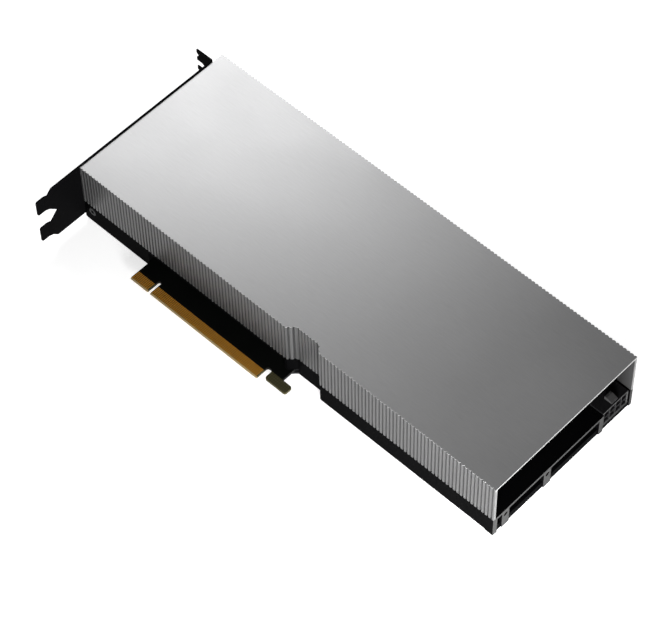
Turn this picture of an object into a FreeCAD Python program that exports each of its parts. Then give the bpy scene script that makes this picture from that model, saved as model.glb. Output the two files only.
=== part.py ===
import FreeCAD, Part
import math
import os
import re
import PartDesign
import Sketcher

# A passively cooled accelerator card, lying on its back.
# Card datum: x = 0 is the inner face of the mounting bracket, y = 0 the side with the
# edge connector, z = 0 the plane that the card rests on.  +X runs to the open air
# inlet, +Y away from the edge connector, +Z out through the cover's flat top.
# Every finished piece is then shifted so that the origin is the middle of the card's
# whole footprint, on the resting plane.

SIZES = [
    # the card as a whole
    ("card_length", 267.7, "bracket's inner face to the open inlet end"),
    ("card_width", 98.0, "edge-connector side to the far side"),
    ("card_height", 39.04, "resting plane to the cover's top"),
    ("deck_level", 12.85, "resting plane to the deck that carries the cover"),
    ("board_level", 2.67, "resting plane to the board's underside"),
    ("board_thickness", 1.57, "circuit board"),
    ("relief_start", 138.3, "start of the bay in the edge-connector side"),
    ("relief_end", 159.6, "end of that bay"),
    ("relief_depth", 3.65, "depth of that bay, which has 45 degree flanks"),
    # cover
    ("cover_skin", 1.1, "thickness of the flat top"),
    ("cover_wall", 1.4, "thickness of the side walls over the ridges"),
    ("ridge_pitch", 2.14, "distance from ridge to ridge"),
    ("ridge_crest", 1.0, "flat crest of a ridge"),
    ("ridge_depth", 0.55, "depth of the grooves"),
    ("foot_length", 8.0, "cover's screw foot along the card"),
    ("foot_reach", 5.6, "cover's screw foot, inwards from the wall"),
    ("foot_thickness", 1.2, "cover's screw foot"),
    ("foot_screw_inset", 5.0, "card's side to the axis of a cover screw"),
    # base frame
    ("deck_thickness", 1.5, "deck of the base frame"),
    ("frame_wall", 1.6, "side walls and skirt of the base frame"),
    ("front_wall", 2.4, "base frame's wall behind the bracket"),
    ("window_front", 9.5, "bracket to the deck window for the heatsink"),
    ("plenum", 33.5, "card's end to that window"),
    ("window_side", 7.5, "card's side to the deck window"),
    ("bay_lead", 0.55, "set-back wall's start to the edge connector"),
    ("connector_bay_depth", 4.6, "set-back of the wall beside the edge connector"),
    ("skirt_gap", 1.95, "retention hook to where the skirt goes on"),
    ("post_depth", 5.0, "posts at the inlet end, along the card"),
    ("corner_post", 2.8, "width of the two corner posts"),
    ("near_post_start", 6.2, "first screw post, near side"),
    ("screw_post", 4.8, "width of the two screw posts"),
    ("extender_spacing", 28.9, "distance between the two extender screw holes"),
    ("extender_hole_radius", 1.25, "tapped hole for the extender screw"),
    ("extender_hole_drop", 2.45, "deck's underside to the extender holes"),
    ("extender_hole_depth", 4.5, "depth of the extender holes"),
    ("socket_post", 2.8, "post beside the power socket"),
    ("boss_width", 4.8, "square bosses that take the backplate screws"),
    ("boss_inset", 4.8, "card's side to a boss's axis"),
    ("first_boss", 10.5, "bracket to the first bosses"),
    ("bay_boss", 11.1, "bay's end to the boss past it"),
    ("last_boss", 12.0, "card's end to the last near boss"),
    ("socket_boss", 8.0, "power socket to the last far boss"),
    ("first_foot", 30.0, "bracket to the cover's first feet"),
    ("last_foot", 22.0, "card's end to the cover's last near foot"),
    ("socket_foot", 20.0, "power socket to the cover's last far foot"),
    ("ear_screw_along", 5.3, "bracket screw, from the bracket"),
    ("ear_screw_drop", 2.85, "deck's underside to the bracket screws"),
    # circuit board
    ("board_inset", 1.9, "card's side to the board's edge"),
    ("board_setback", 5.6, "card's end to the board's end"),
    ("tab_start", 45.25, "edge connector's near edge"),
    ("short_tab", 11.65, "edge connector, short part"),
    ("key_width", 1.9, "key notch"),
    ("long_tab", 71.65, "edge connector, long part"),
    ("tab_drop", 13.15, "edge connector below the card's side"),
    ("key_top", 5.0, "key notch's round end, below the card's side"),
    ("tab_bevel", 0.5, "lead-in bevel of the edge connector"),
    ("hook_gap", 3.05, "slot between connector and retention hook"),
    ("hook_gap_top", 5.1, "that slot's round end, below the card's side"),
    ("hook_foot", 13.4, "length of the hook's foot"),
    ("hook_neck", 7.2, "width of the hook's neck"),
    ("hook_bottom", 10.6, "hook's lowest edge, below the card's side"),
    ("hook_shelf", 5.6, "hook's shelf, below the card's side"),
    ("hook_corner", 1.2, "rounded corners of the hook"),
    ("contact_pitch", 1.0, "edge contacts"),
    ("contact_width", 0.7, "edge contacts"),
    ("contact_length", 4.9, "edge contacts"),
    ("contact_thickness", 0.05, "edge contacts"),
    ("contact_margin", 0.825, "connector's edge to the middle of its first contact"),
    ("contact_setback", 0.1, "bevel to the contacts"),
    # backplate
    ("backplate_thickness", 1.0, "backplate"),
    ("backplate_inset", 0.3, "card's side to the backplate's edge"),
    ("backplate_setback", 5.3, "card's end to the backplate's end"),
    ("rim_width", 6.0, "rim of the backplate under the board's edge"),
    ("insulator_thickness", 0.25, "insulating film on the backplate"),
    ("insulator_gap", 0.3, "backplate's rim to the film's edge"),
    # mounting bracket
    ("bracket_thickness", 0.86, "bracket sheet"),
    ("bracket_bottom", 3.4, "resting plane to the bracket's lower edge"),
    ("bracket_width", 36.3, "bracket's width across both slots"),
    ("bracket_length", 120.02, "tongue tips to the flange's outer face"),
    ("flange_face", 91.85, "flange's outer face from the edge-connector side"),
    ("flange_depth", 11.43, "bracket's inner face to the flange's edge"),
    ("bend_radius", 0.5, "inside radius of the flange's bend"),
    ("slot_spacing", 20.32, "slot to slot"),
    ("first_tongue", 11.35, "resting plane to the first tongue's middle"),
    ("tongue_width", 10.19, "tongue"),
    ("tongue_root", 21.35, "card's side to the tongue's root"),
    ("tongue_jog", 0.64, "offset of the tongues"),
    ("jog_length", 2.0, "length of the tongues' offset bend"),
    ("tongue_corner", 1.2, "rounded tongue corners"),
    ("notch_level", 9.28, "resting plane to the first flange notch"),
    ("notch_width", 4.42, "flange notch"),
    ("notch_depth", 5.13, "flange notch, edge to round end"),
    ("scallop_depth", 1.3, "flange edge cut back between the notches"),
    ("prong_width", 2.3, "flange prong beside a notch"),
    ("vent_count", 16, "slots in the bracket"),
    ("vent_pitch", 5.0, "distance between the slots"),
    ("vent_width", 3.0, "width of a slot"),
    ("vent_margin", 2.6, "cover's opening to the slots' ends"),
    ("vent_corner", 0.8, "bevelled corners of the slots"),
    ("ear_thickness", 0.86, "bracket's screw ears"),
    ("ear_length", 7.4, "bracket's screw ears"),
    ("ear_height", 5.0, "bracket's screw ears"),
    ("far_ear_setback", 2.5, "flange to the far ear's outer face"),
    ("lug_reach", 2.4, "frame's lug past the far bracket screw, each way"),
    # processor and heatsink
    ("package_x", 118.0, "middle of the processor package"),
    ("package_size", 55.0, "square package substrate"),
    ("substrate_height", 1.5, "package substrate"),
    ("die_length", 32.0, "processor die"),
    ("die_width", 26.0, "processor die"),
    ("die_height", 0.76, "processor die and memory stacks"),
    ("stack_length", 11.0, "memory stack"),
    ("stack_width", 8.0, "memory stack"),
    ("stack_gap", 1.0, "die to memory stack"),
    ("compound_thickness", 0.1, "thermal compound on the die"),
    ("stiffener_width", 4.0, "stiffener ring on the substrate"),
    ("stiffener_height", 0.6, "stiffener ring on the substrate"),
    ("pad_thickness", 0.76, "thermal pads on the power inductors"),
    ("pad_size", 6.0, "thermal pads, square"),
    ("spreader_thickness", 3.0, "heat spreader"),
    ("spreader_clearance", 0.5, "deck window to the heat spreader"),
    ("pedestal_margin", 6.0, "pedestal past the die"),
    ("fin_thickness", 0.5, "fins"),
    ("fin_pitch", 1.98, "fins"),
    ("fin_top_gap", 0.35, "fins to the cover's skin"),
    ("post_spacing", 68.0, "heatsink posts, centre to centre"),
    ("post_radius", 2.6, "heatsink posts"),
    ("clamp_thread_radius", 1.25, "heatsink screws"),
    ("clamp_thread_depth", 3.5, "heatsink screws in their posts"),
    ("clamp_head_radius", 2.6, "heatsink screw heads"),
    ("clamp_head_height", 1.1, "heatsink screw heads"),
    ("washer_radius", 3.2, "spring washers"),
    ("washer_thickness", 0.4, "spring washers"),
    ("clamp_access_radius", 4.0, "openings in the backplate for the heatsink screws"),
    # power supply parts
    ("choke_size", 7.0, "power inductors, square"),
    ("choke_height", 4.2, "power inductors"),
    ("choke_x", 170.0, "first column of power inductors"),
    ("choke_pitch", 9.2, "row to row"),
    ("choke_rows", 8, "inductors in a column"),
    ("stage_gap", 3.0, "power inductor to its power stage"),
    ("stage_length", 6.0, "power stages"),
    ("stage_width", 5.0, "power stages"),
    ("stage_height", 0.9, "power stages"),
    ("column_spacing", 24.0, "first to second column of the supply"),
    ("can_radius", 3.15, "bulk capacitors"),
    ("can_height", 5.8, "bulk capacitors"),
    ("can_setback", 27.0, "card's end to the row of bulk capacitors"),
    ("can_y", 16.0, "first bulk capacitor"),
    ("can_pitch", 9.0, "capacitor to capacitor"),
    ("can_count", 6, "bulk capacitors"),
    ("chip_size", 8.0, "support chips"),
    ("chip_height", 1.2, "support chips"),
    ("chip_x", 34.0, "bracket to the first support chips"),
    ("chip_step", 28.0, "first support chips to the next"),
    ("chip_offset", 22.0, "card's middle line to the support chips"),
    # power socket
    ("socket_depth", 22.4, "power socket along the card"),
    ("socket_setback", 0.6, "card's end to the socket's mouth"),
    ("socket_width", 18.0, "power socket"),
    ("socket_height", 9.2, "power socket"),
    ("socket_inset", 11.6, "card's far side to the socket's middle"),
    ("socket_clearance", 0.3, "socket to the post beside it"),
    ("cavity_size", 3.5, "square cavity for one terminal"),
    ("cavity_pitch", 4.2, "cavity to cavity"),
    ("cavity_depth", 13.0, "cavities"),
    ("latch_width", 4.4, "latch ramp on the socket"),
    ("latch_length", 4.6, "latch ramp"),
    ("latch_height", 1.9, "latch ramp"),
    ("latch_setback", 0.8, "socket's mouth to the latch ramp"),
    ("terminal_size", 1.1, "socket terminals"),
    ("terminal_setback", 3.0, "socket's mouth to the terminals' tips"),
    ("tail_inset", 2.0, "socket's inner end to the first row of terminal tails"),
    ("tail_pitch", 5.0, "distance between the two rows of terminal tails"),
    ("tail_clearance", 0.2, "terminal tails to their holes"),
    # screws
    ("plate_head_radius", 2.3, "backplate screw heads"),
    ("plate_head_height", 1.2, "backplate screw heads"),
    ("plate_thread_radius", 1.2, "backplate screws"),
    ("plate_thread_depth", 4.5, "backplate screws in their bosses"),
    ("thread_relief", 0.5, "blind hole past its screw's tip"),
    ("head_sink", 0.2, "backplate screw heads below the backplate's face"),
    ("cover_head_radius", 1.9, "cover screw heads"),
    ("cover_head_height", 1.3, "cover screw heads"),
    ("cover_thread_radius", 1.0, "cover screws"),
    ("ear_head_radius", 2.4, "bracket screw heads"),
    ("ear_head_height", 1.1, "bracket screw heads"),
    ("ear_thread_radius", 1.2, "bracket screws"),
    ("ear_screw_tip", 0.8, "bracket screws past their ears"),
    ("hole_clearance", 0.15, "clearance round screws in plain holes"),
]

# how many flat sides stand in for a round one: small fasteners inside, and those in view
HIDDEN_SIDES = 8
PLAIN_SIDES = 12
SEEN_SIDES = 16

# heights that several pieces share
BOARD_TOP = "(board_level + board_thickness)"
DECK_UNDERSIDE = "(deck_level - deck_thickness)"
DIE_TOP = "(" + BOARD_TOP + " + substrate_height + die_height)"
SPREADER_LEVEL = "(" + BOARD_TOP + " + choke_height + pad_thickness)"
FIN_FLOOR = "(" + SPREADER_LEVEL + " + spreader_thickness)"
EXTENDER_LEVEL = "(" + DECK_UNDERSIDE + " - extender_hole_drop)"
EAR_LEVEL = "(" + DECK_UNDERSIDE + " - ear_screw_drop)"

# places along and across the card that several pieces share
MID_WIDTH = "(card_width / 2)"
WINDOW_END = "(card_length - plenum)"
BACK_OF_POSTS = "(card_length - post_depth)"
BOARD_END = "(card_length - board_setback)"
BACKPLATE_END = "(card_length - backplate_setback)"
CAN_ROW = "(card_length - can_setback)"
SPREADER_NEAR = "(window_side + spreader_clearance)"
SPREADER_SPAN = "(card_width - 2 * " + SPREADER_NEAR + ")"
KEY_START = "(tab_start + short_tab)"
LONG_TAB_START = "(" + KEY_START + " + key_width)"
TAB_END = "(" + LONG_TAB_START + " + long_tab)"
HOOK_START = "(" + TAB_END + " + hook_gap)"
HOOK_NECK_END = "(" + HOOK_START + " + hook_neck)"
BRACKET_TOP = "(bracket_bottom + bracket_width)"
TONGUE_TIP = "(flange_face - bracket_length)"
SOCKET_MOUTH = "(card_length - socket_setback)"
SOCKET_START = "(" + SOCKET_MOUTH + " - socket_depth)"
SOCKET_MIDDLE = "(card_width - socket_inset)"
SOCKET_NEAR = "(" + SOCKET_MIDDLE + " - socket_width / 2)"
SOCKET_POST_END = "(" + SOCKET_NEAR + " - socket_clearance)"
BAY_START = "(tab_start - bay_lead)"
BAY_END = "(relief_start - frame_wall)"
SKIRT_RESTART = "(" + HOOK_NECK_END + " + skirt_gap)"
NEAR_EAR_FACE = "(frame_wall + hole_clearance)"
FAR_EAR_FACE = "(flange_face - far_ear_setback)"

doc = FreeCAD.newDocument("accelerator_card")
sheet = doc.addObject("Spreadsheet::Sheet", "Sizes")
for row, (alias, value, meaning) in enumerate(SIZES, start=1):
    sheet.set("A%d" % row, alias)
    sheet.set("B%d" % row, str(value))
    sheet.set("C%d" % row, meaning)
    sheet.setAlias("B%d" % row, alias)
doc.recompute()

size_names = re.compile(r"\b(" + "|".join(alias for alias, value, meaning in SIZES) + r")\b")
finished = []


# ---------------------------------------------------------------- helpers


def bound(formula):
    """The formula with each size name pointing at its cell of the sheet."""
    return size_names.sub(r"Sizes.\1", str(formula))


def value_of(formula):
    """The formula's value now, as a plain number."""
    return float(sheet.evalExpression(bound(formula)))


def bind(thing, field, formula):
    thing.setExpression(field, bound(formula))


def origin_part(body, role):
    return [item for item in body.Origin.OriginFeatures if item.Role == role][0]


def new_body(label):
    body = doc.addObject("PartDesign::Body", label)
    body.Label = label
    return body


def new_sketch(body, name, plane, level="0"):
    """A sketch on one of the body's own origin planes, moved along the plane's normal."""
    sketch = body.newObject("Sketcher::SketchObject", name)
    sketch.AttachmentSupport = [(origin_part(body, plane), "")]
    sketch.MapMode = "FlatFace"
    bind(sketch, "AttachmentOffset.Base.z", level)
    return sketch


def hold_point(sketch, geometry, end, x, y):
    """Fixes one end of a sketch element at x and y from the sketch's origin."""
    place = sketch.addConstraint(
        Sketcher.Constraint("DistanceX", -1, 1, geometry, end, value_of(x))
    )
    bind(sketch, "Constraints[%d]" % place, x)
    place = sketch.addConstraint(
        Sketcher.Constraint("DistanceY", -1, 1, geometry, end, value_of(y))
    )
    bind(sketch, "Constraints[%d]" % place, y)


def draw_loop(sketch, corners):
    """A closed outline of straight lines through the corners."""
    points = [FreeCAD.Vector(value_of(x), value_of(y), 0) for x, y in corners]
    first = sketch.GeometryCount
    count = len(points)
    for index in range(count):
        following = points[(index + 1) % count]
        sketch.addGeometry(Part.LineSegment(points[index], following), False)
    for index in range(count):
        after = first + (index + 1) % count
        sketch.addConstraint(Sketcher.Constraint("Coincident", first + index, 2, after, 1))
    for index, (x, y) in enumerate(corners):
        hold_point(sketch, first + index, 1, x, y)


def draw_rectangle(sketch, x_low, x_high, y_low, y_high):
    draw_loop(
        sketch, [(x_low, y_low), (x_high, y_low), (x_high, y_high), (x_low, y_high)]
    )


def draw_circle(sketch, x, y, radius):
    centre = FreeCAD.Vector(value_of(x), value_of(y), 0)
    normal = FreeCAD.Vector(0, 0, 1)
    circle = sketch.addGeometry(Part.Circle(centre, normal, value_of(radius)), False)
    hold_point(sketch, circle, 3, x, y)
    place = sketch.addConstraint(Sketcher.Constraint("Radius", circle, value_of(radius)))
    bind(sketch, "Constraints[%d]" % place, radius)


def draw_slot(sketch, start, end, radius):
    """A slot with round ends between two centres, along either axis of the sketch."""
    ends = [FreeCAD.Vector(value_of(x), value_of(y), 0) for x, y in (start, end)]
    reach = value_of(radius)
    heading = math.atan2(ends[1].y - ends[0].y, ends[1].x - ends[0].x)
    side = FreeCAD.Vector(-math.sin(heading), math.cos(heading), 0) * reach
    normal = FreeCAD.Vector(0, 0, 1)
    quarter = math.pi / 2
    tail = sketch.addGeometry(
        Part.ArcOfCircle(
            Part.Circle(ends[0], normal, reach), heading + quarter, heading + 3 * quarter
        ),
        False,
    )
    nose = sketch.addGeometry(
        Part.ArcOfCircle(
            Part.Circle(ends[1], normal, reach), heading - quarter, heading + quarter
        ),
        False,
    )
    low = sketch.addGeometry(Part.LineSegment(ends[0] - side, ends[1] - side), False)
    high = sketch.addGeometry(Part.LineSegment(ends[1] + side, ends[0] + side), False)
    sketch.addConstraint(Sketcher.Constraint("Tangent", tail, 2, low, 1))
    sketch.addConstraint(Sketcher.Constraint("Tangent", low, 2, nose, 1))
    sketch.addConstraint(Sketcher.Constraint("Tangent", nose, 2, high, 1))
    sketch.addConstraint(Sketcher.Constraint("Tangent", high, 2, tail, 1))
    hold_point(sketch, tail, 3, *start)
    hold_point(sketch, nose, 3, *end)
    place = sketch.addConstraint(Sketcher.Constraint("Radius", tail, reach))
    bind(sketch, "Constraints[%d]" % place, radius)


def pad(body, sketch, length, name):
    feature = body.newObject("PartDesign::Pad", name)
    feature.Profile = sketch
    bind(feature, "Length", length)
    return feature


def pocket(body, sketch, name, depth=None, upwards=False):
    """A pocket of the given depth, or right through the piece both ways."""
    doc.recompute()
    before = body.Shape.Volume
    feature = body.newObject("PartDesign::Pocket", name)
    feature.Profile = sketch
    if depth is None:
        feature.SideType = "Two sides"
        feature.Type = "ThroughAll"
        feature.Type2 = "ThroughAll"
    else:
        feature.Reversed = upwards
        bind(feature, "Length", depth)
    doc.recompute()
    if body.Shape.Volume > before - 1e-6:
        raise RuntimeError(name + " removes nothing")
    return feature


def row_of(body, feature, axis, spacing, count, name):
    """The feature repeated along one of the body's axes."""
    pattern = body.newObject("PartDesign::LinearPattern", name)
    pattern.Originals = [feature]
    pattern.Direction = (origin_part(body, axis), [""])
    pattern.Mode = "Spacing"
    bind(pattern, "Offset", spacing)
    bind(pattern, "Occurrences", count)
    body.Tip = pattern
    return pattern


def place_at(thing, x, y, z):
    for letter, formula in zip("xyz", (x, y, z)):
        bind(thing, "Placement.Base." + letter, formula)


def box(name, low, sides):
    """A block from its low corner and its three side lengths."""
    block = doc.addObject("Part::Box", name)
    for field, formula in zip(("Length", "Width", "Height"), sides):
        bind(block, field, formula)
    place_at(block, *low)
    return block


def rod(name, foot, radius, length, turn=None):
    """A cylinder from its foot, along +Z or turned to another axis."""
    cylinder = doc.addObject("Part::Cylinder", name)
    bind(cylinder, "Radius", radius)
    bind(cylinder, "Height", length)
    if turn:
        cylinder.Placement.Rotation = turn
    place_at(cylinder, *foot)
    return cylinder


def peg(name, foot, radius, length, sides=PLAIN_SIDES, turn=None):
    """A small round piece, or the tool for its hole, with flat sides to spare faces."""
    prism = doc.addObject("Part::Prism", name)
    prism.Polygon = sides
    bind(prism, "Circumradius", radius)
    bind(prism, "Height", length)
    if turn:
        prism.Placement.Rotation = turn
    place_at(prism, *foot)
    return prism


def drilled(label, body, holes):
    """The body with all the hole tools cut out of it."""
    return cut(label, body, group("Part::Compound", label + "_holes", holes))


def group(kind, label, members):
    """A Part compound or boolean over several objects."""
    joined = doc.addObject(kind, label)
    if kind == "Part::Compound":
        joined.Links = members
    else:
        joined.Shapes = members
    return joined


def cut(label, base, tool):
    result = doc.addObject("Part::Cut", label)
    result.Base = base
    result.Tool = tool
    return result


def finish(thing, label):
    """Marks a finished piece and shifts it from the card datum to the row's origin."""
    thing.Label = label
    place_at(
        thing,
        "(flange_depth - card_length) / 2",
        "-(card_width + " + TONGUE_TIP + ") / 2",
        "0",
    )
    finished.append(thing)


ALONG_Y = FreeCAD.Rotation(FreeCAD.Vector(1, 0, 0), -90)
AGAINST_Y = FreeCAD.Rotation(FreeCAD.Vector(1, 0, 0), 90)
ALONG_X = FreeCAD.Rotation(FreeCAD.Vector(0, 1, 0), 90)


def side_path(inset, end):
    """The card's edge-connector side with its bay, moved inwards; from x = 0 to the end."""
    shift = "%s * %.6f" % (inset, math.sqrt(2) - 1)
    return [
        ("relief_start - " + shift, inset),
        ("relief_start + relief_depth - " + shift, "relief_depth + " + inset),
        ("relief_end - relief_depth + " + shift, "relief_depth + " + inset),
        ("relief_end + " + shift, inset),
        (end, inset),
    ]


def boss_places():
    """The backplate screws: three on the near side, four evenly spaced on the far side."""
    last_far = "(" + SOCKET_START + " - socket_boss)"
    step = "((" + last_far + " - first_boss) / 3)"
    near = ["first_boss", "(relief_end + bay_boss)", "(card_length - last_boss)"]
    far = ["first_boss", "(first_boss + %s)" % step, "(%s - %s)" % (last_far, step), last_far]
    near_places = [(place, "boss_inset") for place in near]
    return near_places + [(place, "card_width - boss_inset") for place in far]


def foot_places():
    """The cover's screws: two on each side."""
    near = ["first_foot", "(card_length - last_foot)"]
    far = ["first_foot", "(" + SOCKET_START + " - socket_foot)"]
    near_places = [(place, "foot_screw_inset") for place in near]
    return near_places + [(place, "card_width - foot_screw_inset") for place in far]


# ---------------------------------------------------------------- cover


def reeded_run(start, end, points):
    """Adds the grooves of one straight stretch, cut in to the left between flat crests."""
    run = end - start
    count = max(1, round(run.Length / value_of("ridge_pitch")))
    step = run.Length / count
    ahead = FreeCAD.Vector(run).normalize()
    inwards = FreeCAD.Vector(-ahead.y, ahead.x, 0) * value_of("ridge_depth")
    half_crest = value_of("ridge_crest") / 2
    for index in range(count):
        crest = start + ahead * (index * step)
        points.append(crest + ahead * half_crest)
        points.append(crest + ahead * (step / 2) + inwards)
        points.append(crest + ahead * (step - half_crest))


def reeded_blank():
    """The cover's outline with upright ridges on both long sides, raised to its height."""
    length = value_of("card_length")
    width = value_of("card_width")
    lead = FreeCAD.Vector(value_of("ridge_crest") / 2, 0, 0)
    corners = [FreeCAD.Vector(value_of(x), value_of(y), 0) for x, y in side_path("0", "card_length")]
    near_start = FreeCAD.Vector(0, 0, 0)
    far_start = FreeCAD.Vector(length, width, 0)
    far_end = FreeCAD.Vector(0, width, 0)
    points = [near_start]
    stretches = [near_start + lead] + corners[:-1] + [corners[-1] - lead]
    for start, end in zip(stretches[:-1], stretches[1:]):
        reeded_run(start, end, points)
        points.append(end)
    points.append(corners[-1])
    points.append(far_start)
    reeded_run(far_start - lead, far_end + lead, points)
    points.append(far_end)
    rise = FreeCAD.Vector(0, 0, value_of("card_height - deck_level"))
    outline = Part.Face(Part.makePolygon(points + [near_start]))
    blank = doc.addObject("Part::Feature", "cover_blank")
    blank.Shape = outline.extrude(rise)
    place_at(blank, "0", "0", "deck_level")
    return blank


def make_cover():
    blank = reeded_blank()
    hollow = new_body("cover_hollow")
    sketch = new_sketch(hollow, "hollow_plan", "XY_Plane", "deck_level - 1")
    far_wall = "card_width - cover_wall"
    draw_loop(
        sketch,
        [("-1", "cover_wall")]
        + side_path("cover_wall", "card_length + 1")
        + [("card_length + 1", far_wall), ("-1", far_wall)],
    )
    pad(hollow, sketch, "card_height - cover_skin - deck_level + 1", "hollow_depth")
    shell = cut("cover_shell", blank, hollow)
    feet = []
    holes = []
    reach = "foot_reach + cover_wall / 2"
    for number, (x, y) in enumerate(foot_places(), start=1):
        low = "cover_wall / 2" if y == "foot_screw_inset" else "card_width - cover_wall - foot_reach"
        corner = (x + " - foot_length / 2", low, "deck_level")
        feet.append(box("foot_%d" % number, corner, ("foot_length", reach, "foot_thickness")))
        at = (x, y, "deck_level - 1")
        holes.append(peg("foot_hole_%d" % number, at, "cover_thread_radius", "foot_thickness + 2"))
    footed = group("Part::MultiFuse", "cover_with_feet", [shell] + feet)
    finish(drilled("shroud", footed, holes), "shroud")


# ---------------------------------------------------------------- base frame


def draw_plan(sketch, inset, end):
    """The card's plan outline moved inwards by the inset, up to the given end."""
    far = "card_width - " + inset
    draw_loop(sketch, [(inset, inset)] + side_path(inset, end) + [(end, far), (inset, far)])


def make_base_frame():
    body = new_body("base_frame_body")
    deck = new_sketch(body, "deck_plan", "XY_Plane", DECK_UNDERSIDE)
    draw_plan(deck, "0", "card_length")
    draw_rectangle(deck, "window_front", WINDOW_END, "window_side", "card_width - window_side")
    pad(body, deck, "deck_thickness", "deck")

    # walls under the deck, set back beside the edge connector
    walls = new_sketch(body, "wall_plan", "XY_Plane", BOARD_TOP)
    back_of_end = BACK_OF_POSTS
    draw_loop(
        walls,
        [
            ("0", "0"),
            (BAY_START, "0"),
            (BAY_START, "connector_bay_depth"),
            (BAY_END, "connector_bay_depth"),
            (BAY_END, "0"),
        ]
        + side_path("0", back_of_end)
        + [
            (back_of_end, "frame_wall"),
            ("relief_end + frame_wall", "frame_wall"),
            ("relief_end - relief_depth + frame_wall", "connector_bay_depth + frame_wall"),
            (BAY_START + " - frame_wall", "connector_bay_depth + frame_wall"),
            (BAY_START + " - frame_wall", "frame_wall"),
            ("front_wall", "frame_wall"),
            ("front_wall", "card_width - frame_wall"),
            (back_of_end, "card_width - frame_wall"),
            (back_of_end, "card_width"),
            ("0", "card_width"),
        ],
    )
    pad(body, walls, DECK_UNDERSIDE + " - " + BOARD_TOP, "walls")

    # skirt round the board's edge, open where the edge connector comes out
    skirt = new_sketch(body, "skirt_plan", "XY_Plane", "backplate_thickness")
    draw_loop(
        skirt,
        [
            (BAY_START, "0"),
            (BAY_START, "frame_wall"),
            ("frame_wall", "frame_wall"),
            ("frame_wall", "card_width - frame_wall"),
            (back_of_end, "card_width - frame_wall"),
            (back_of_end, "card_width"),
            ("0", "card_width"),
            ("0", "0"),
        ],
    )
    bay = side_path("0", back_of_end)
    inner = side_path("frame_wall", back_of_end)
    draw_loop(
        skirt,
        [(SKIRT_RESTART, "relief_depth")]
        + bay[2:]
        + inner[:1:-1]
        + [(SKIRT_RESTART, "relief_depth + frame_wall")],
    )
    pad(body, skirt, BOARD_TOP + " - backplate_thickness", "skirt")

    # posts of the open inlet end
    posts = new_sketch(body, "post_plan", "XY_Plane")
    far_post = "near_post_start + extender_spacing"
    for low, width in (
        ("0", "corner_post"),
        ("near_post_start", "screw_post"),
        (far_post, "screw_post"),
        (SOCKET_POST_END + " - socket_post", "socket_post"),
        ("card_width - frame_wall", "frame_wall"),
    ):
        draw_rectangle(posts, back_of_end, "card_length", low, "%s + %s" % (low, width))
    pad(body, posts, DECK_UNDERSIDE, "posts")

    # sill between the posts, lower where the board runs over it to the power socket
    sill = new_sketch(body, "sill_plan", "XY_Plane")
    draw_rectangle(sill, back_of_end, SOCKET_MOUTH, "0", SOCKET_NEAR + " - hole_clearance")
    pad(body, sill, BOARD_TOP, "sill")
    low_sill = new_sketch(body, "low_sill_plan", "XY_Plane")
    draw_rectangle(low_sill, back_of_end, SOCKET_MOUTH, SOCKET_POST_END + " - socket_post", "card_width")
    pad(body, low_sill, "board_level", "low_sill")

    # lug that carries the bracket's far screw across to its ear
    lug = new_sketch(body, "lug_plan", "XY_Plane", BOARD_TOP)
    lug_face = FAR_EAR_FACE + " + hole_clearance"
    lug_end = "ear_screw_along + lug_reach"
    draw_rectangle(lug, "front_wall / 2", lug_end, lug_face, "card_width - frame_wall / 2")
    pad(body, lug, DECK_UNDERSIDE + " - " + BOARD_TOP, "screw_lug")

    # square bosses against the walls for the backplate screws
    bosses = new_sketch(body, "boss_plan", "XY_Plane", BOARD_TOP)
    for x, y in boss_places():
        near = y == "boss_inset"
        low = "frame_wall / 2" if near else y + " - boss_width / 2"
        high = y + " + boss_width / 2" if near else "card_width - frame_wall / 2"
        draw_rectangle(bosses, x + " - boss_width / 2", x + " + boss_width / 2", low, high)
    pad(body, bosses, DECK_UNDERSIDE + " - " + BOARD_TOP, "bosses")

    # way out for the power socket, through the end of the deck
    way_out = new_sketch(body, "socket_opening", "XY_Plane", "deck_level")
    draw_rectangle(
        way_out,
        SOCKET_START + " - 1",
        "card_length + 1",
        SOCKET_POST_END,
        "card_width - frame_wall",
    )
    pocket(body, way_out, "socket_bay", "deck_thickness")

    # tapped holes for a card extender, in the two screw posts
    taps = new_sketch(body, "extender_plan", "YZ_Plane", "card_length")
    for low in ("near_post_start", far_post):
        draw_circle(taps, low + " + screw_post / 2", EXTENDER_LEVEL, "extender_hole_radius")
    pocket(body, taps, "extender_holes", "extender_hole_depth")

    # slots in the front wall for the bracket's ears
    slots = new_sketch(body, "ear_slots", "YZ_Plane")
    lowest = EAR_LEVEL + " - ear_height / 2 - hole_clearance"
    highest = EAR_LEVEL + " + ear_height / 2 + hole_clearance"
    for low, high in ear_faces():
        draw_rectangle(slots, low + " - hole_clearance", high + " + hole_clearance", lowest, highest)
    pocket(body, slots, "ear_passages", "front_wall", upwards=True)

    # holes: bracket screws with sunk heads, backplate screws, cover screws
    holes = []
    for name, side, turn, reach in ear_screws():
        at = ("ear_screw_along", side, EAR_LEVEL)
        clear = "ear_thread_radius + hole_clearance"
        bore = peg(name + "_ear_bore", at, clear, reach, PLAIN_SIDES, turn)
        sink = peg(name + "_ear_sink", at, "ear_head_radius", "ear_head_height", SEEN_SIDES, turn)
        holes.append(group("Part::MultiFuse", name + "_ear_hole", [bore, sink]))
    for number, (x, y) in enumerate(boss_places(), start=1):
        at = (x, y, BOARD_TOP)
        depth = "plate_thread_depth + thread_relief"
        holes.append(peg("boss_hole_%d" % number, at, "plate_thread_radius", depth))
    for number, (x, y) in enumerate(foot_places(), start=1):
        at = (x, y, DECK_UNDERSIDE)
        clear = "cover_thread_radius + hole_clearance"
        holes.append(peg("deck_hole_%d" % number, at, clear, "deck_thickness"))
    finish(drilled("base_frame", body, holes), "base_frame")


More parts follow.
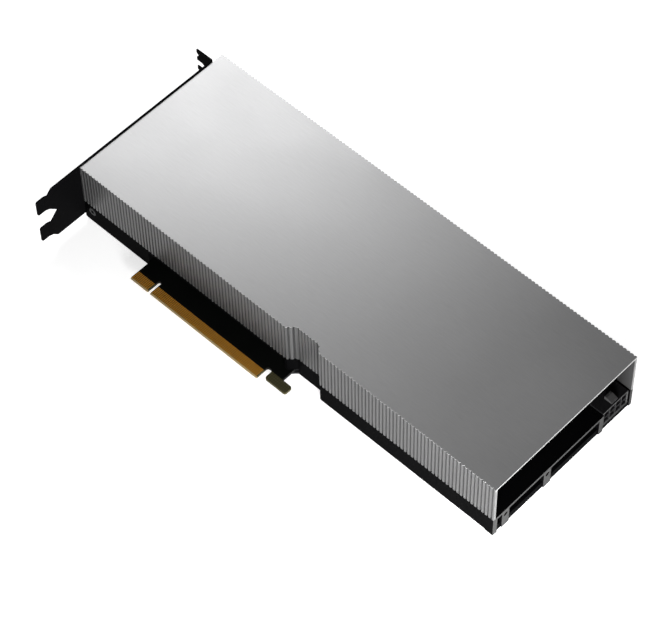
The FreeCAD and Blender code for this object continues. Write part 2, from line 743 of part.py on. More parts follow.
def ear_faces():
    """The two faces of each of the bracket's ears, as places across the card."""
    near = (NEAR_EAR_FACE, NEAR_EAR_FACE + " + ear_thickness")
    far = (FAR_EAR_FACE + " - ear_thickness", FAR_EAR_FACE)
    return [near, far]


def ear_screws():
    """Name, side, direction and depth to the ear of each bracket screw."""
    near = ("near", "0", ALONG_Y, NEAR_EAR_FACE)
    far = ("far", "card_width", AGAINST_Y, "(card_width - " + FAR_EAR_FACE + ")")
    return [near, far]


# ---------------------------------------------------------------- circuit board and contacts


def clamp_places():
    """The four heatsink posts round the processor package."""
    places = []
    for x_sign in ("-", "+"):
        for y_sign in ("-", "+"):
            x = "package_x %s post_spacing / 2" % x_sign
            y = "%s %s post_spacing / 2" % (MID_WIDTH, y_sign)
            places.append((x, y))
    return places


def tail_places():
    """Where the socket's terminals go through the board: two rows of four."""
    places = []
    for column in range(4):
        y = "%s + cavity_pitch * %s" % (SOCKET_MIDDLE, column - 1.5)
        for row in range(2):
            x = "%s + tail_inset + tail_pitch * %d" % (SOCKET_START, row)
            places.append((x, y))
    return places


def make_circuit_board():
    body = new_body("board_body")
    plan = new_sketch(body, "board_plan", "XY_Plane", "board_level")
    tab_edge = "-tab_drop"
    far = "card_width - board_inset"
    bay = side_path("board_inset", BOARD_END)
    draw_loop(
        plan,
        [
            ("front_wall", "board_inset"),
            ("tab_start", "board_inset"),
            ("tab_start", tab_edge),
            (TAB_END, tab_edge),
            (TAB_END, "-hook_gap_top"),
            (HOOK_START, "-hook_gap_top"),
            (HOOK_START, "-hook_bottom"),
            (HOOK_START + " + hook_foot", "-hook_bottom"),
            (HOOK_START + " + hook_foot", "-hook_shelf"),
            (HOOK_NECK_END, "-hook_shelf"),
            (HOOK_NECK_END, "relief_depth + board_inset"),
        ]
        + bay[2:4]
        + [
            (BOARD_END, "board_inset"),
            (BOARD_END, SOCKET_NEAR),
            (SOCKET_MOUTH, SOCKET_NEAR),
            (SOCKET_MOUTH, far),
            ("front_wall", far),
        ],
    )
    half_hole = "(terminal_size / 2 + tail_clearance)"
    for x, y in tail_places():
        draw_rectangle(
            plan, x + " - " + half_hole, x + " + " + half_hole, y + " - " + half_hole, y + " + " + half_hole
        )
    pad(body, plan, "board_thickness", "board")

    notches = new_sketch(body, "notch_plan", "XY_Plane", "board_level")
    key_middle = KEY_START + " + key_width / 2"
    below = "-tab_drop - 2"
    draw_slot(notches, (key_middle, below), (key_middle, "-key_top - key_width / 2"), "key_width / 2")
    pocket(body, notches, "key_notch", "board_thickness", upwards=True)

    base = body.Tip
    edges = edges_along_x(body.Shape, "-tab_drop")
    bevel = body.newObject("PartDesign::Chamfer", "connector_bevel")
    bevel.Base = (base, edges)
    bind(bevel, "Size", "tab_bevel")
    round_corners(
        body,
        "hook_corners",
        [
            (HOOK_START, "-hook_bottom"),
            (HOOK_START + " + hook_foot", "-hook_bottom"),
            (HOOK_START + " + hook_foot", "-hook_shelf"),
            (TAB_END, "-hook_gap_top"),
            (HOOK_START, "-hook_gap_top"),
        ],
        "hook_corner",
    )
    holes = []
    for number, (x, y) in enumerate(boss_places(), start=1):
        clear = "plate_thread_radius + hole_clearance"
        holes.append(peg("board_hole_%d" % number, (x, y, "board_level"), clear, "board_thickness"))
    for number, (x, y) in enumerate(clamp_places(), start=1):
        at = (x, y, "board_level")
        clear = "clamp_thread_radius + hole_clearance"
        holes.append(peg("clamp_way_%d" % number, at, clear, "board_thickness", HIDDEN_SIDES))
    finish(drilled("circuit_board", body, holes), "circuit_board")


def edges_along_x(shape, y):
    """Names of the edges that run along X at one y."""
    names = []
    for number, edge in enumerate(shape.Edges, start=1):
        bounds = edge.BoundBox
        level = abs(bounds.YMin - value_of(y)) < 1e-4 and abs(bounds.YMax - value_of(y)) < 1e-4
        if level and bounds.XLength > 1 and bounds.ZLength < 1e-4:
            names.append("Edge%d" % number)
    return names


def round_corners(body, name, corners, radius, axis="z"):
    """Rounds the edges that stand on the given corners of the plan."""
    doc.recompute()
    names = []
    for number, edge in enumerate(body.Shape.Edges, start=1):
        middle = edge.BoundBox.Center
        spans = {"x": edge.BoundBox.XLength, "z": edge.BoundBox.ZLength}
        if spans[axis] < edge.Length - 1e-4:
            continue
        for first, second in corners:
            here = (middle.x, middle.y) if axis == "z" else (middle.y, middle.z)
            gap = math.hypot(here[0] - value_of(first), here[1] - value_of(second))
            if gap < 1e-3:
                names.append("Edge%d" % number)
    base = body.Tip
    fillet = body.newObject("PartDesign::Fillet", name)
    fillet.Base = (base, names)
    bind(fillet, "Radius", radius)
    doc.recompute()
    return fillet


def contact_row(label, start, tab, level):
    """One row of edge contacts on one face of one part of the edge connector."""
    body = new_body(label)
    sketch = new_sketch(body, label + "_pad", "XY_Plane", level)
    low = "-tab_drop + tab_bevel + contact_setback"
    first = start + " + contact_margin - contact_width / 2"
    draw_rectangle(sketch, first, first + " + contact_width", low, low + " + contact_length")
    feature = pad(body, sketch, "contact_thickness", label + "_one")
    count = "round((" + tab + " - 2 * contact_margin) / contact_pitch) + 1"
    row_of(body, feature, "X_Axis", "contact_pitch", count, label + "_row")
    return body


def make_edge_contacts():
    rows = []
    for face, level in (("back", "board_level - contact_thickness"), ("front", BOARD_TOP)):
        rows.append(contact_row(face + "_short", "tab_start", "short_tab", level))
        rows.append(contact_row(face + "_long", LONG_TAB_START, "long_tab", level))
    finish(group("Part::Compound", "edge_contacts", rows), "edge_contacts")


# ---------------------------------------------------------------- backplate


def make_backplate():
    body = new_body("backplate_body")
    plate = new_sketch(body, "plate_plan", "XY_Plane")
    draw_plan(plate, "backplate_inset", BACKPLATE_END)
    pad(body, plate, "backplate_thickness", "plate")
    rim = new_sketch(body, "rim_plan", "XY_Plane", "backplate_thickness")
    draw_plan(rim, "board_inset", BACKPLATE_END)
    draw_plan(rim, "(board_inset + rim_width)", BACKPLATE_END + " - rim_width")
    pad(body, rim, "board_level - backplate_thickness", "rim")

    holes = []
    sink_depth = "head_sink + plate_head_height"
    for number, (x, y) in enumerate(boss_places(), start=1):
        clear = "plate_thread_radius + hole_clearance"
        head_room = "plate_head_radius + hole_clearance"
        bore = peg("plate_bore_%d" % number, (x, y, "0"), clear, "board_level")
        sink = peg("plate_sink_%d" % number, (x, y, "0"), head_room, sink_depth, SEEN_SIDES)
        holes.append(group("Part::MultiFuse", "plate_hole_%d" % number, [bore, sink]))
    for number, (x, y) in enumerate(clamp_places(), start=1):
        at = (x, y, "0")
        holes.append(
            peg("clamp_access_%d" % number, at, "clamp_access_radius", "backplate_thickness", SEEN_SIDES)
        )
    finish(drilled("backplate", body, holes), "backplate")

    film = new_body("film_body")
    film_plan = new_sketch(film, "film_plan", "XY_Plane", "backplate_thickness")
    film_inset = "(board_inset + rim_width + insulator_gap)"
    draw_plan(film_plan, film_inset, BACKPLATE_END + " - rim_width - insulator_gap")
    pad(film, film_plan, "insulator_thickness", "film")
    gaps = []
    for number, (x, y) in enumerate(clamp_places(), start=1):
        at = (x, y, "backplate_thickness")
        gaps.append(peg("film_gap_%d" % number, at, "clamp_access_radius", "insulator_thickness"))
    finish(drilled("backplate_insulator", film, gaps), "backplate_insulator")


# ---------------------------------------------------------------- mounting bracket


def make_io_bracket():
    body = new_body("bracket_body")
    section = new_sketch(body, "bracket_section", "XY_Plane", "bracket_bottom")
    outer = "-bracket_thickness"
    jogged = "-tongue_jog"
    bend_start = "-tongue_root - jog_length"
    draw_loop(
        section,
        [
            ("0", "-tongue_root"),
            ("0", "flange_face"),
            ("-flange_depth", "flange_face"),
            ("-flange_depth", "flange_face - bracket_thickness"),
            (outer, "flange_face - bracket_thickness"),
            (outer, "-tongue_root"),
            ("-bracket_thickness - tongue_jog", bend_start),
            ("-bracket_thickness - tongue_jog", TONGUE_TIP),
            (jogged, TONGUE_TIP),
            (jogged, bend_start),
        ],
    )
    pad(body, section, "bracket_width", "bracket_sheet")
    inner_bend = [(outer, "flange_face - bracket_thickness")]
    round_corners(body, "inner_bend", inner_bend, "bend_radius")
    round_corners(body, "outer_bend", [("0", "flange_face")], "bend_radius + bracket_thickness")

    # outline of the two tongues: 45 degree shoulders and the notch between them
    tongues = new_sketch(body, "tongue_plan", "YZ_Plane")
    root = "-tongue_root"
    below = "-bracket_length"
    half = "tongue_width / 2"
    first_low = "first_tongue - " + half
    first_high = "first_tongue + " + half
    second_low = "first_tongue + slot_spacing - " + half
    second_high = "first_tongue + slot_spacing + " + half
    gap = "(slot_spacing - tongue_width) / 2"
    low_shoulder = "(%s - bracket_bottom)" % first_low
    high_shoulder = "(%s - (%s))" % (BRACKET_TOP, second_high)
    draw_loop(
        tongues,
        [
            (below, first_high),
            (root, first_high),
            (root + " + " + gap, "first_tongue + slot_spacing / 2"),
            (root, second_low),
            (below, second_low),
        ],
    )
    draw_loop(
        tongues,
        [
            (below, "bracket_bottom - 1"),
            (root + " + 1 + " + low_shoulder, "bracket_bottom - 1"),
            (root, first_low),
            (below, first_low),
        ],
    )
    draw_loop(
        tongues,
        [
            (below, second_high),
            (root, second_high),
            (root + " + 1 + " + high_shoulder, BRACKET_TOP + " + 1"),
            (below, BRACKET_TOP + " + 1"),
        ],
    )
    pocket(body, tongues, "tongue_outline")
    tips = [(TONGUE_TIP, level) for level in (first_low, first_high, second_low, second_high)]
    round_corners(body, "tongue_corners", tips, "tongue_corner", axis="x")

    # screw notches of the flange, and its edge cut back between them
    notches = new_sketch(body, "flange_notches", "XZ_Plane")
    radius = "notch_width / 2"
    inner_end = "-flange_depth + notch_depth - " + radius
    for level in ("notch_level", "(notch_level + slot_spacing)"):
        draw_slot(notches, ("-flange_depth - 4", level), (inner_end, level), radius)
    pocket(body, notches, "screw_notches")
    edge = new_sketch(body, "flange_scallops", "XZ_Plane")
    prong = radius + " + prong_width"
    scallops = [
        ("notch_level + " + prong, "notch_level + slot_spacing - (" + prong + ")"),
        ("notch_level + slot_spacing + " + prong, BRACKET_TOP + " - prong_width"),
    ]
    for low, high in scallops:
        draw_loop(
            edge,
            [
                ("-flange_depth - 1", low),
                ("-flange_depth", low),
                ("-flange_depth + scallop_depth", low + " + scallop_depth"),
                ("-flange_depth + scallop_depth", high + " - scallop_depth"),
                ("-flange_depth", high),
                ("-flange_depth - 1", high),
            ],
        )
    pocket(body, edge, "flange_edge")

    # exhaust slots with bevelled corners, in front of the cover's opening
    vents = new_sketch(body, "vent_plan", "YZ_Plane")
    low = "(deck_level + vent_margin)"
    high = "(card_height - vent_margin)"
    left = "(flange_face / 2 - vent_pitch * (vent_count - 1) / 2 - vent_width / 2)"
    right = "(" + left + " + vent_width)"
    draw_loop(
        vents,
        [
            (left + " + vent_corner", low),
            (right + " - vent_corner", low),
            (right, low + " + vent_corner"),
            (right, high + " - vent_corner"),
            (right + " - vent_corner", high),
            (left + " + vent_corner", high),
            (left, high + " - vent_corner"),
            (left, low + " + vent_corner"),
        ],
    )
    vent = pocket(body, vents, "exhaust_slot")
    row_of(body, vent, "Y_Axis", "vent_pitch", "floor(vent_count)", "exhaust_slots")
    doc.recompute()

    # ears that reach back inside the base frame, tapped for the bracket screws
    ears = new_sketch(body, "ear_plan", "XY_Plane", EAR_LEVEL + " - ear_height / 2")
    for low, high in ear_faces():
        draw_rectangle(ears, "-bracket_thickness", "ear_length", low, high)
    pad(body, ears, "ear_height", "ears")
    taps = []
    for number, (low, high) in enumerate(ear_faces(), start=1):
        at = ("ear_screw_along", low, EAR_LEVEL)
        turn = ALONG_Y
        taps.append(peg("ear_tap_%d" % number, at, "ear_thread_radius", "ear_thickness", PLAIN_SIDES, turn))
    finish(drilled("io_bracket", body, taps), "io_bracket")


# ---------------------------------------------------------------- processor and heatsink


def centred_box(name, middle, level, sides):
    x = "%s - %s / 2" % (middle[0], sides[0])
    y = "%s - %s / 2" % (middle[1], sides[1])
    return box(name, (x, y, level), sides)


def make_processor():
    middle = ("package_x", MID_WIDTH)
    substrate = centred_box(
        "gpu_substrate", middle, BOARD_TOP, ("package_size", "package_size", "substrate_height")
    )
    finish_block(substrate, "processor_substrate", BOARD_TOP, middle, ("package_size", "package_size"))
    on_substrate = BOARD_TOP + " + substrate_height"
    die = ("die_length", "die_width", "die_height")
    die_block = centred_box("die", middle, on_substrate, die)
    finish_block(die_block, "processor_die", on_substrate, middle, die)
    ring_outer = centred_box(
        "ring_outer", middle, on_substrate, ("package_size", "package_size", "stiffener_height")
    )
    hole = "(package_size - 2 * stiffener_width)"
    ring_inner = centred_box("ring_inner", middle, on_substrate, (hole, hole, "stiffener_height"))
    finish(cut("package_stiffener", ring_outer, ring_inner), "package_stiffener")
    stacks = []
    for x_sign in (-1, 1):
        for y_sign in (-1, 1):
            x = "package_x + %d * (stack_length + stack_gap) / 2" % x_sign
            y = "%s + %d * ((die_width + stack_width) / 2 + stack_gap)" % (MID_WIDTH, y_sign)
            name = "stack_%d_%d" % (x_sign + 1, y_sign + 1)
            stacks.append(
                centred_box(name, (x, y), on_substrate, ("stack_length", "stack_width", "die_height"))
            )
    finish(group("Part::Compound", "memory_stacks", stacks), "memory_stacks")
    film = ("die_length", "die_width", "compound_thickness")
    layer = centred_box("compound", middle, DIE_TOP, film)
    finish_block(layer, "thermal_compound", DIE_TOP, middle, film)


def finish_block(block, label, level, middle, sides):
    """A single block as a finished piece: its own corner and the shift together."""
    block.Label = label
    place_at(
        block,
        "%s - %s / 2 + (flange_depth - card_length) / 2" % (middle[0], sides[0]),
        "%s - %s / 2 - (card_width + %s) / 2" % (middle[1], sides[1], TONGUE_TIP),
        level,
    )
    finished.append(block)


def make_heatsink():
    body = new_body("heat_spreader")
    plan = new_sketch(body, "spreader_plan", "XY_Plane", SPREADER_LEVEL)
    start = "window_front + spreader_clearance"
    end = WINDOW_END + " - spreader_clearance"
    draw_rectangle(plan, start, end, SPREADER_NEAR, "card_width - " + SPREADER_NEAR)
    pad(body, plan, "spreader_thickness", "spreader")
    pedestal_floor = DIE_TOP + " + compound_thickness"
    pedestal = new_sketch(body, "pedestal_plan", "XY_Plane", pedestal_floor)
    half_length = "(die_length / 2 + pedestal_margin)"
    half_width = "(die_width / 2 + pedestal_margin)"
    draw_rectangle(
        pedestal,
        "package_x - " + half_length,
        "package_x + " + half_length,
        MID_WIDTH + " - " + half_width,
        MID_WIDTH + " + " + half_width,
    )
    pad(body, pedestal, SPREADER_LEVEL + " - (" + pedestal_floor + ")", "pedestal")
    finish(body, "heat_spreader")

    posts = []
    for number, (x, y) in enumerate(clamp_places(), start=1):
        at = (x, y, BOARD_TOP)
        tall = SPREADER_LEVEL + " - " + BOARD_TOP
        deep = "clamp_thread_depth + thread_relief"
        post = peg("clamp_post_%d" % number, at, "post_radius", tall, HIDDEN_SIDES)
        hole = peg("clamp_hole_%d" % number, at, "clamp_thread_radius", deep, HIDDEN_SIDES)
        posts.append(cut("hollow_post_%d" % number, post, hole))
    finish(group("Part::Compound", "heatsink_posts", posts), "heatsink_posts")

    # upright fins, joined by their folded feet into one stack on the spreader
    fins = new_body("fin_stack")
    feet = new_sketch(fins, "fin_feet", "XY_Plane", FIN_FLOOR)
    draw_rectangle(feet, start, end, SPREADER_NEAR, "card_width - " + SPREADER_NEAR)
    pad(fins, feet, "fin_thickness", "folded_feet")
    one = new_sketch(fins, "fin_side", "XZ_Plane", "-" + SPREADER_NEAR + " - fin_thickness")
    draw_rectangle(one, start, end, FIN_FLOOR, "card_height - cover_skin - fin_top_gap")
    first = pad(fins, one, "fin_thickness", "first_fin")
    count = "floor((" + SPREADER_SPAN + " - fin_thickness) / fin_pitch) + 1"
    row_of(fins, first, "Y_Axis", "fin_pitch", count, "fins")
    finish(fins, "fin_stack")


def screw(name, foot, head, shank):
    """A screw standing on its head: radius, length and flat sides of head and shank."""
    x, y, z = foot
    head_radius, head_height, head_sides = head
    shank_radius, shank_length, shank_sides = shank
    above = z + " + " + head_height
    head_part = peg(name + "_head", foot, head_radius, head_height, head_sides)
    shank_part = peg(name + "_shank", (x, y, above), shank_radius, shank_length, shank_sides)
    return group("Part::MultiFuse", name, [head_part, shank_part])


def make_heatsink_screws():
    screws = []
    washers = []
    for number, (x, y) in enumerate(clamp_places(), start=1):
        seat = "board_level - washer_thickness"
        screws.append(
            screw(
                "clamp_screw_%d" % number,
                (x, y, seat + " - clamp_head_height"),
                ("clamp_head_radius", "clamp_head_height", PLAIN_SIDES),
                ("clamp_thread_radius", BOARD_TOP + " + clamp_thread_depth - (" + seat + ")", HIDDEN_SIDES),
            )
        )
        disc = peg("washer_disc_%d" % number, (x, y, seat), "washer_radius", "washer_thickness")
        clear = "clamp_thread_radius + hole_clearance"
        bore = peg("washer_bore_%d" % number, (x, y, seat), clear, "washer_thickness", HIDDEN_SIDES)
        washers.append(cut("washer_%d" % number, disc, bore))
    finish(group("Part::Compound", "heatsink_screws", screws), "heatsink_screws")
    finish(group("Part::Compound", "heatsink_washers", washers), "heatsink_washers")


# ---------------------------------------------------------------- power supply on the board


def make_supply():
    chokes = []
    pads = []
    stages = []
    for column in range(2):
        for row in range(int(value_of("choke_rows"))):
            tag = "%d_%d" % (column + 1, row + 1)
            y = "%s + (%d - (choke_rows - 1) / 2) * choke_pitch" % (MID_WIDTH, row)
            x = "choke_x + %d * column_spacing" % column
            block = ("choke_size", "choke_size", "choke_height")
            chokes.append(centred_box("choke_" + tag, (x, y), BOARD_TOP, block))
            top = BOARD_TOP + " + choke_height"
            soft = ("pad_size", "pad_size", "pad_thickness")
            pads.append(centred_box("pad_" + tag, (x, y), top, soft))
            beside = x + " + (choke_size + stage_length) / 2 + stage_gap"
            chip = ("stage_length", "stage_width", "stage_height")
            stages.append(centred_box("stage_" + tag, (beside, y), BOARD_TOP, chip))
    finish(group("Part::Compound", "power_inductors", chokes), "power_inductors")
    finish(group("Part::Compound", "inductor_thermal_pads", pads), "inductor_thermal_pads")
    finish(group("Part::Compound", "power_stages", stages), "power_stages")
    cans = []
    for number in range(int(value_of("can_count"))):
        at = (CAN_ROW, "can_y + %d * can_pitch" % number, BOARD_TOP)
        cans.append(peg("can_%d" % (number + 1), at, "can_radius", "can_height"))
    finish(group("Part::Compound", "bulk_capacitors", cans), "bulk_capacitors")
    chips = []
    near_row = MID_WIDTH + " - chip_offset"
    far_row = MID_WIDTH + " + chip_offset"
    spots = [("chip_x", near_row), ("chip_x", far_row), ("(chip_x + chip_step)", near_row)]
    for number, (x, y) in enumerate(spots, start=1):
        sides = ("chip_size", "chip_size", "chip_height")
        chips.append(centred_box("chip_%d" % number, (x, "(" + y + ")"), BOARD_TOP, sides))
    finish(group("Part::Compound", "support_chips", chips), "support_chips")


# ---------------------------------------------------------------- power socket


def socket_cavities():
    """Middles of the eight terminal cavities, across the card and up from the board."""
    places = []
    for column in range(4):
        y = "%s + cavity_pitch * %s" % (SOCKET_MIDDLE, column - 1.5)
        for row in (-0.5, 0.5):
            z = BOARD_TOP + " + socket_height / 2 + cavity_pitch * %s" % row
            places.append((y, z))
    return places


def make_power_socket():
    body = new_body("power_socket")
    housing = new_sketch(body, "housing_section", "YZ_Plane", SOCKET_START)
    far = SOCKET_NEAR + " + socket_width"
    draw_rectangle(housing, SOCKET_NEAR, far, BOARD_TOP, BOARD_TOP + " + socket_height")
    pad(body, housing, "socket_depth", "housing")
    cavities = new_sketch(body, "cavity_section", "YZ_Plane", SOCKET_MOUTH)
    half = " cavity_size / 2"
    for y, z in socket_cavities():
        draw_rectangle(cavities, y + " -" + half, y + " +" + half, z + " -" + half, z + " +" + half)
    pocket(body, cavities, "cavities", "cavity_depth")
    ramp = new_sketch(body, "latch_side", "XZ_Plane", "-" + SOCKET_MIDDLE + " - latch_width / 2")
    top = BOARD_TOP + " + socket_height"
    mouth = SOCKET_MOUTH + " - latch_setback"
    draw_loop(
        ramp,
        [
            (mouth + " - latch_length", top),
            (mouth, top),
            (mouth, top + " + latch_height * 0.35"),
            (mouth + " - latch_length * 0.7", top + " + latch_height"),
            (mouth + " - latch_length", top + " + latch_height"),
        ],
    )
    pad(body, ramp, "latch_width", "latch_ramp")
    finish(body, "power_socket")

    terminals = []
    half_pin = "terminal_size / 2"
    for number, (y, z) in enumerate(socket_cavities(), start=1):
        back = SOCKET_MOUTH + " - cavity_depth"
        contact = box(
            "terminal_contact_%d" % number,
            (back, y + " - " + half_pin, z + " - " + half_pin),
            ("cavity_depth - terminal_setback", "terminal_size", "terminal_size"),
        )
        terminals.append(contact)
    finish(group("Part::Compound", "socket_terminals", terminals), "socket_terminals")
    tails = []
    for number, (x, y) in enumerate(tail_places(), start=1):
        tails.append(
            box(
                "terminal_tail_%d" % number,
                (x + " - " + half_pin, y + " - " + half_pin, "board_level"),
                ("terminal_size", "terminal_size", "board_thickness"),
            )
        )
    finish(group("Part::Compound", "terminal_tails", tails), "terminal_tails")


# ---------------------------------------------------------------- screws


def make_screws():
    plate_screws = []
    for number, (x, y) in enumerate(boss_places(), start=1):
        length = BOARD_TOP + " + plate_thread_depth - head_sink - plate_head_height"
        plate_screws.append(
            screw(
                "plate_screw_%d" % number,
                (x, y, "head_sink"),
                ("plate_head_radius", "plate_head_height", SEEN_SIDES),
                ("plate_thread_radius", length, PLAIN_SIDES),
            )
        )
    finish(group("Part::Compound", "backplate_screws", plate_screws), "backplate_screws")

    cover_screws = []
    for number, (x, y) in enumerate(foot_places(), start=1):
        cover_screws.append(
            screw(
                "cover_screw_%d" % number,
                (x, y, DECK_UNDERSIDE + " - cover_head_height"),
                ("cover_head_radius", "cover_head_height", PLAIN_SIDES),
                ("cover_thread_radius", "deck_thickness + foot_thickness", PLAIN_SIDES),
            )
        )
    finish(group("Part::Compound", "shroud_screws", cover_screws), "shroud_screws")

    bracket_screws = []
    for name, side, turn, reach in ear_screws():
        at = ("ear_screw_along", side, EAR_LEVEL)
        head = peg(name + "_ear_head", at, "ear_head_radius", "ear_head_height", SEEN_SIDES, turn)
        length = reach + " + ear_thickness + ear_screw_tip"
        shank = peg(name + "_ear_shank", at, "ear_thread_radius", length, PLAIN_SIDES, turn)
        bracket_screws.append(group("Part::MultiFuse", name + "_ear_screw", [head, shank]))
    finish(group("Part::Compound", "bracket_screws", bracket_screws), "bracket_screws")


# ---------------------------------------------------------------- build and write


def check_and_write():
    doc.recompute()
    for item in doc.Objects:
        if "Invalid" in item.State or "Error" in item.State:
            raise RuntimeError("%s failed: %s" % (item.Label, item.State))
    os.makedirs("parts", exist_ok=True)
    for piece in finished:
        shape = piece.Shape
        if shape.isNull() or not shape.isValid() or not shape.Solids:
            raise RuntimeError(piece.Label + " has no valid solid")
        shape.exportStep("parts/" + piece.Label + ".step")
        print("%-24s %3d solids %10.1f mm3" % (piece.Label, len(shape.Solids), shape.Volume))


make_cover()
make_base_frame()
make_circuit_board()
make_edge_contacts()
make_backplate()
make_io_bracket()
make_processor()
make_heatsink()
make_heatsink_screws()
make_supply()
make_power_socket()
make_screws()
check_and_write()
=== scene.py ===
import bmesh
import bpy
import math
from mathutils import Matrix, Vector


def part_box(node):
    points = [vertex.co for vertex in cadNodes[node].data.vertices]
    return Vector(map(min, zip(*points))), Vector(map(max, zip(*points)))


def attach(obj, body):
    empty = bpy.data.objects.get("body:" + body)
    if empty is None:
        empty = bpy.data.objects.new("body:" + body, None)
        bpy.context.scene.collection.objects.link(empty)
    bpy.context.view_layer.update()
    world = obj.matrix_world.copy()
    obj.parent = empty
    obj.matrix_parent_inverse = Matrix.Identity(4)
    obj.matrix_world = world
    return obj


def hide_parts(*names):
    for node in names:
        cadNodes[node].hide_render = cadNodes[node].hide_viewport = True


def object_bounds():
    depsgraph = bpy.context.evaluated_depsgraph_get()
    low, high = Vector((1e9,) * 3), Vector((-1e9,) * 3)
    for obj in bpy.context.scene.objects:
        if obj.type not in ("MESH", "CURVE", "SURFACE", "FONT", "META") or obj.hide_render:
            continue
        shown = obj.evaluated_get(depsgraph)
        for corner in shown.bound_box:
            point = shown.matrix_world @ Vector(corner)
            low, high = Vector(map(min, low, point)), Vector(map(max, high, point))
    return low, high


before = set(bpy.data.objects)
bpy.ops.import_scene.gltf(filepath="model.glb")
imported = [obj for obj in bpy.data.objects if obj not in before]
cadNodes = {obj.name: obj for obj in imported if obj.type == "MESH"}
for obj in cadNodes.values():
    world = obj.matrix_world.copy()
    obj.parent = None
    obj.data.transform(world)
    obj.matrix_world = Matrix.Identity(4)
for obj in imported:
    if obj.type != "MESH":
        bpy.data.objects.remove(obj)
cadLow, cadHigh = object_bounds()
millimetre = 0.001
print("frame loaded with", len(cadNodes), "nodes")


# Camera

cameraSettings = {
    "azimuth": 44.366,  # degrees round from the edge-connector side
    "elevation": 54.741,
    "roll": -1.193,
    "distance": 1.269,
    "targetFromEnd": 0.12812,  # metres back from the frame's open end
    "targetFromSide": 0.03235,  # metres in from its edge-connector side
    "targetHeight": 0.020,
    "lens": 143.88,
    "sensor": 36,
    "nearest": 0.01,
    "furthest": 50,
}


def aimCamera(s):
    azimuth, elevation, roll = (math.radians(s[k]) for k in ("azimuth", "elevation", "roll"))
    back = Vector((
        math.sin(azimuth) * math.cos(elevation),
        -math.cos(azimuth) * math.cos(elevation),
        math.sin(elevation),
    ))
    right = Vector((math.cos(azimuth), math.sin(azimuth), 0))
    up = back.cross(right)
    turnedRight = math.cos(roll) * right + math.sin(roll) * up
    turnedUp = back.cross(turnedRight)
    frameLow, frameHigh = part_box("base_frame")
    target = Vector((
        frameHigh.x - s["targetFromEnd"], frameLow.y + s["targetFromSide"], s["targetHeight"],
    ))
    camera = bpy.data.objects.new("camera", bpy.data.cameras.new("camera"))
    bpy.context.scene.collection.objects.link(camera)
    turn = Matrix((turnedRight, turnedUp, back)).transposed()
    camera.matrix_world = Matrix.Translation(target + back * s["distance"]) @ turn.to_4x4()
    camera.data.lens = s["lens"]
    camera.data.sensor_width = s["sensor"]
    camera.data.clip_start = s["nearest"]
    camera.data.clip_end = s["furthest"]
    bpy.context.scene.camera = camera


aimCamera(cameraSettings)
bpy.context.scene.view_settings.view_transform = "Standard"
print("camera placed")


# Small helpers for node trees and meshes

def placeNode(tree, kind, inputs=None, **settings):
    node = tree.nodes.new(kind)
    for key, value in settings.items():
        setattr(node, key, value)
    for key, value in (inputs or {}).items():
        if isinstance(value, bpy.types.NodeSocket):
            tree.links.new(value, node.inputs[key])
        else:
            node.inputs[key].default_value = value
    return node


def startGroup(name, inputs, outputs):
    tree = bpy.data.node_groups.new(name, "ShaderNodeTree")
    for label, kind, value in inputs:
        socket = tree.interface.new_socket(name=label, in_out="INPUT", socket_type=kind)
        socket.default_value = value
    for label, kind in outputs:
        tree.interface.new_socket(name=label, in_out="OUTPUT", socket_type=kind)
    return tree, tree.nodes.new("NodeGroupInput"), tree.nodes.new("NodeGroupOutput")


def useGroup(tree, group, inputs):
    return placeNode(tree, "ShaderNodeGroup", inputs, node_tree=group).outputs


def mixColours(tree, amount, low, high):
    # by number, because the node has a socket of the same name for each type
    return placeNode(tree, "ShaderNodeMix", {0: amount, 6: low, 7: high}, data_type="RGBA").outputs[2]


def spread(tree, value, low, high, fromLow=0.0, fromHigh=1.0):
    return placeNode(tree, "ShaderNodeMapRange", {
        "Value": value, "From Min": fromLow, "From Max": fromHigh, "To Min": low, "To Max": high,
    }).outputs["Result"]


def maths(tree, operation, first, second=0.0, clamp=False):
    node = placeNode(tree, "ShaderNodeMath", {0: first, 1: second}, operation=operation, use_clamp=clamp)
    return node.outputs[0]


def objectPlace(tree):
    return placeNode(tree, "ShaderNodeTexCoord").outputs["Object"]


def apartXYZ(tree, vector):
    return placeNode(tree, "ShaderNodeSeparateXYZ", {0: vector}).outputs


def colour(values):
    return (*values, 1.0)


# Effects that several finishes share

def buildGrain():
    tree, start, end = startGroup(
        "metalGrain",
        [("Stretch", "NodeSocketVector", (1, 1, 1)), ("Scale", "NodeSocketFloat", 900.0),
         ("Cloud Scale", "NodeSocketFloat", 24.0)],
        [("Grain", "NodeSocketFloat"), ("Cloud", "NodeSocketFloat")],
    )
    place = objectPlace(tree)
    stretched = placeNode(
        tree, "ShaderNodeVectorMath", {0: place, 1: start.outputs["Stretch"]}, operation="MULTIPLY",
    )
    fine = placeNode(tree, "ShaderNodeTexNoise", {
        "Vector": stretched.outputs[0], "Scale": start.outputs["Scale"], "Detail": 5.0, "Roughness": 0.62,
    })
    cloud = placeNode(tree, "ShaderNodeTexNoise", {
        "Vector": place, "Scale": start.outputs["Cloud Scale"], "Detail": 3.0, "Roughness": 0.5,
    })
    tree.links.new(fine.outputs["Fac"], end.inputs["Grain"])
    tree.links.new(cloud.outputs["Fac"], end.inputs["Cloud"])
    return tree


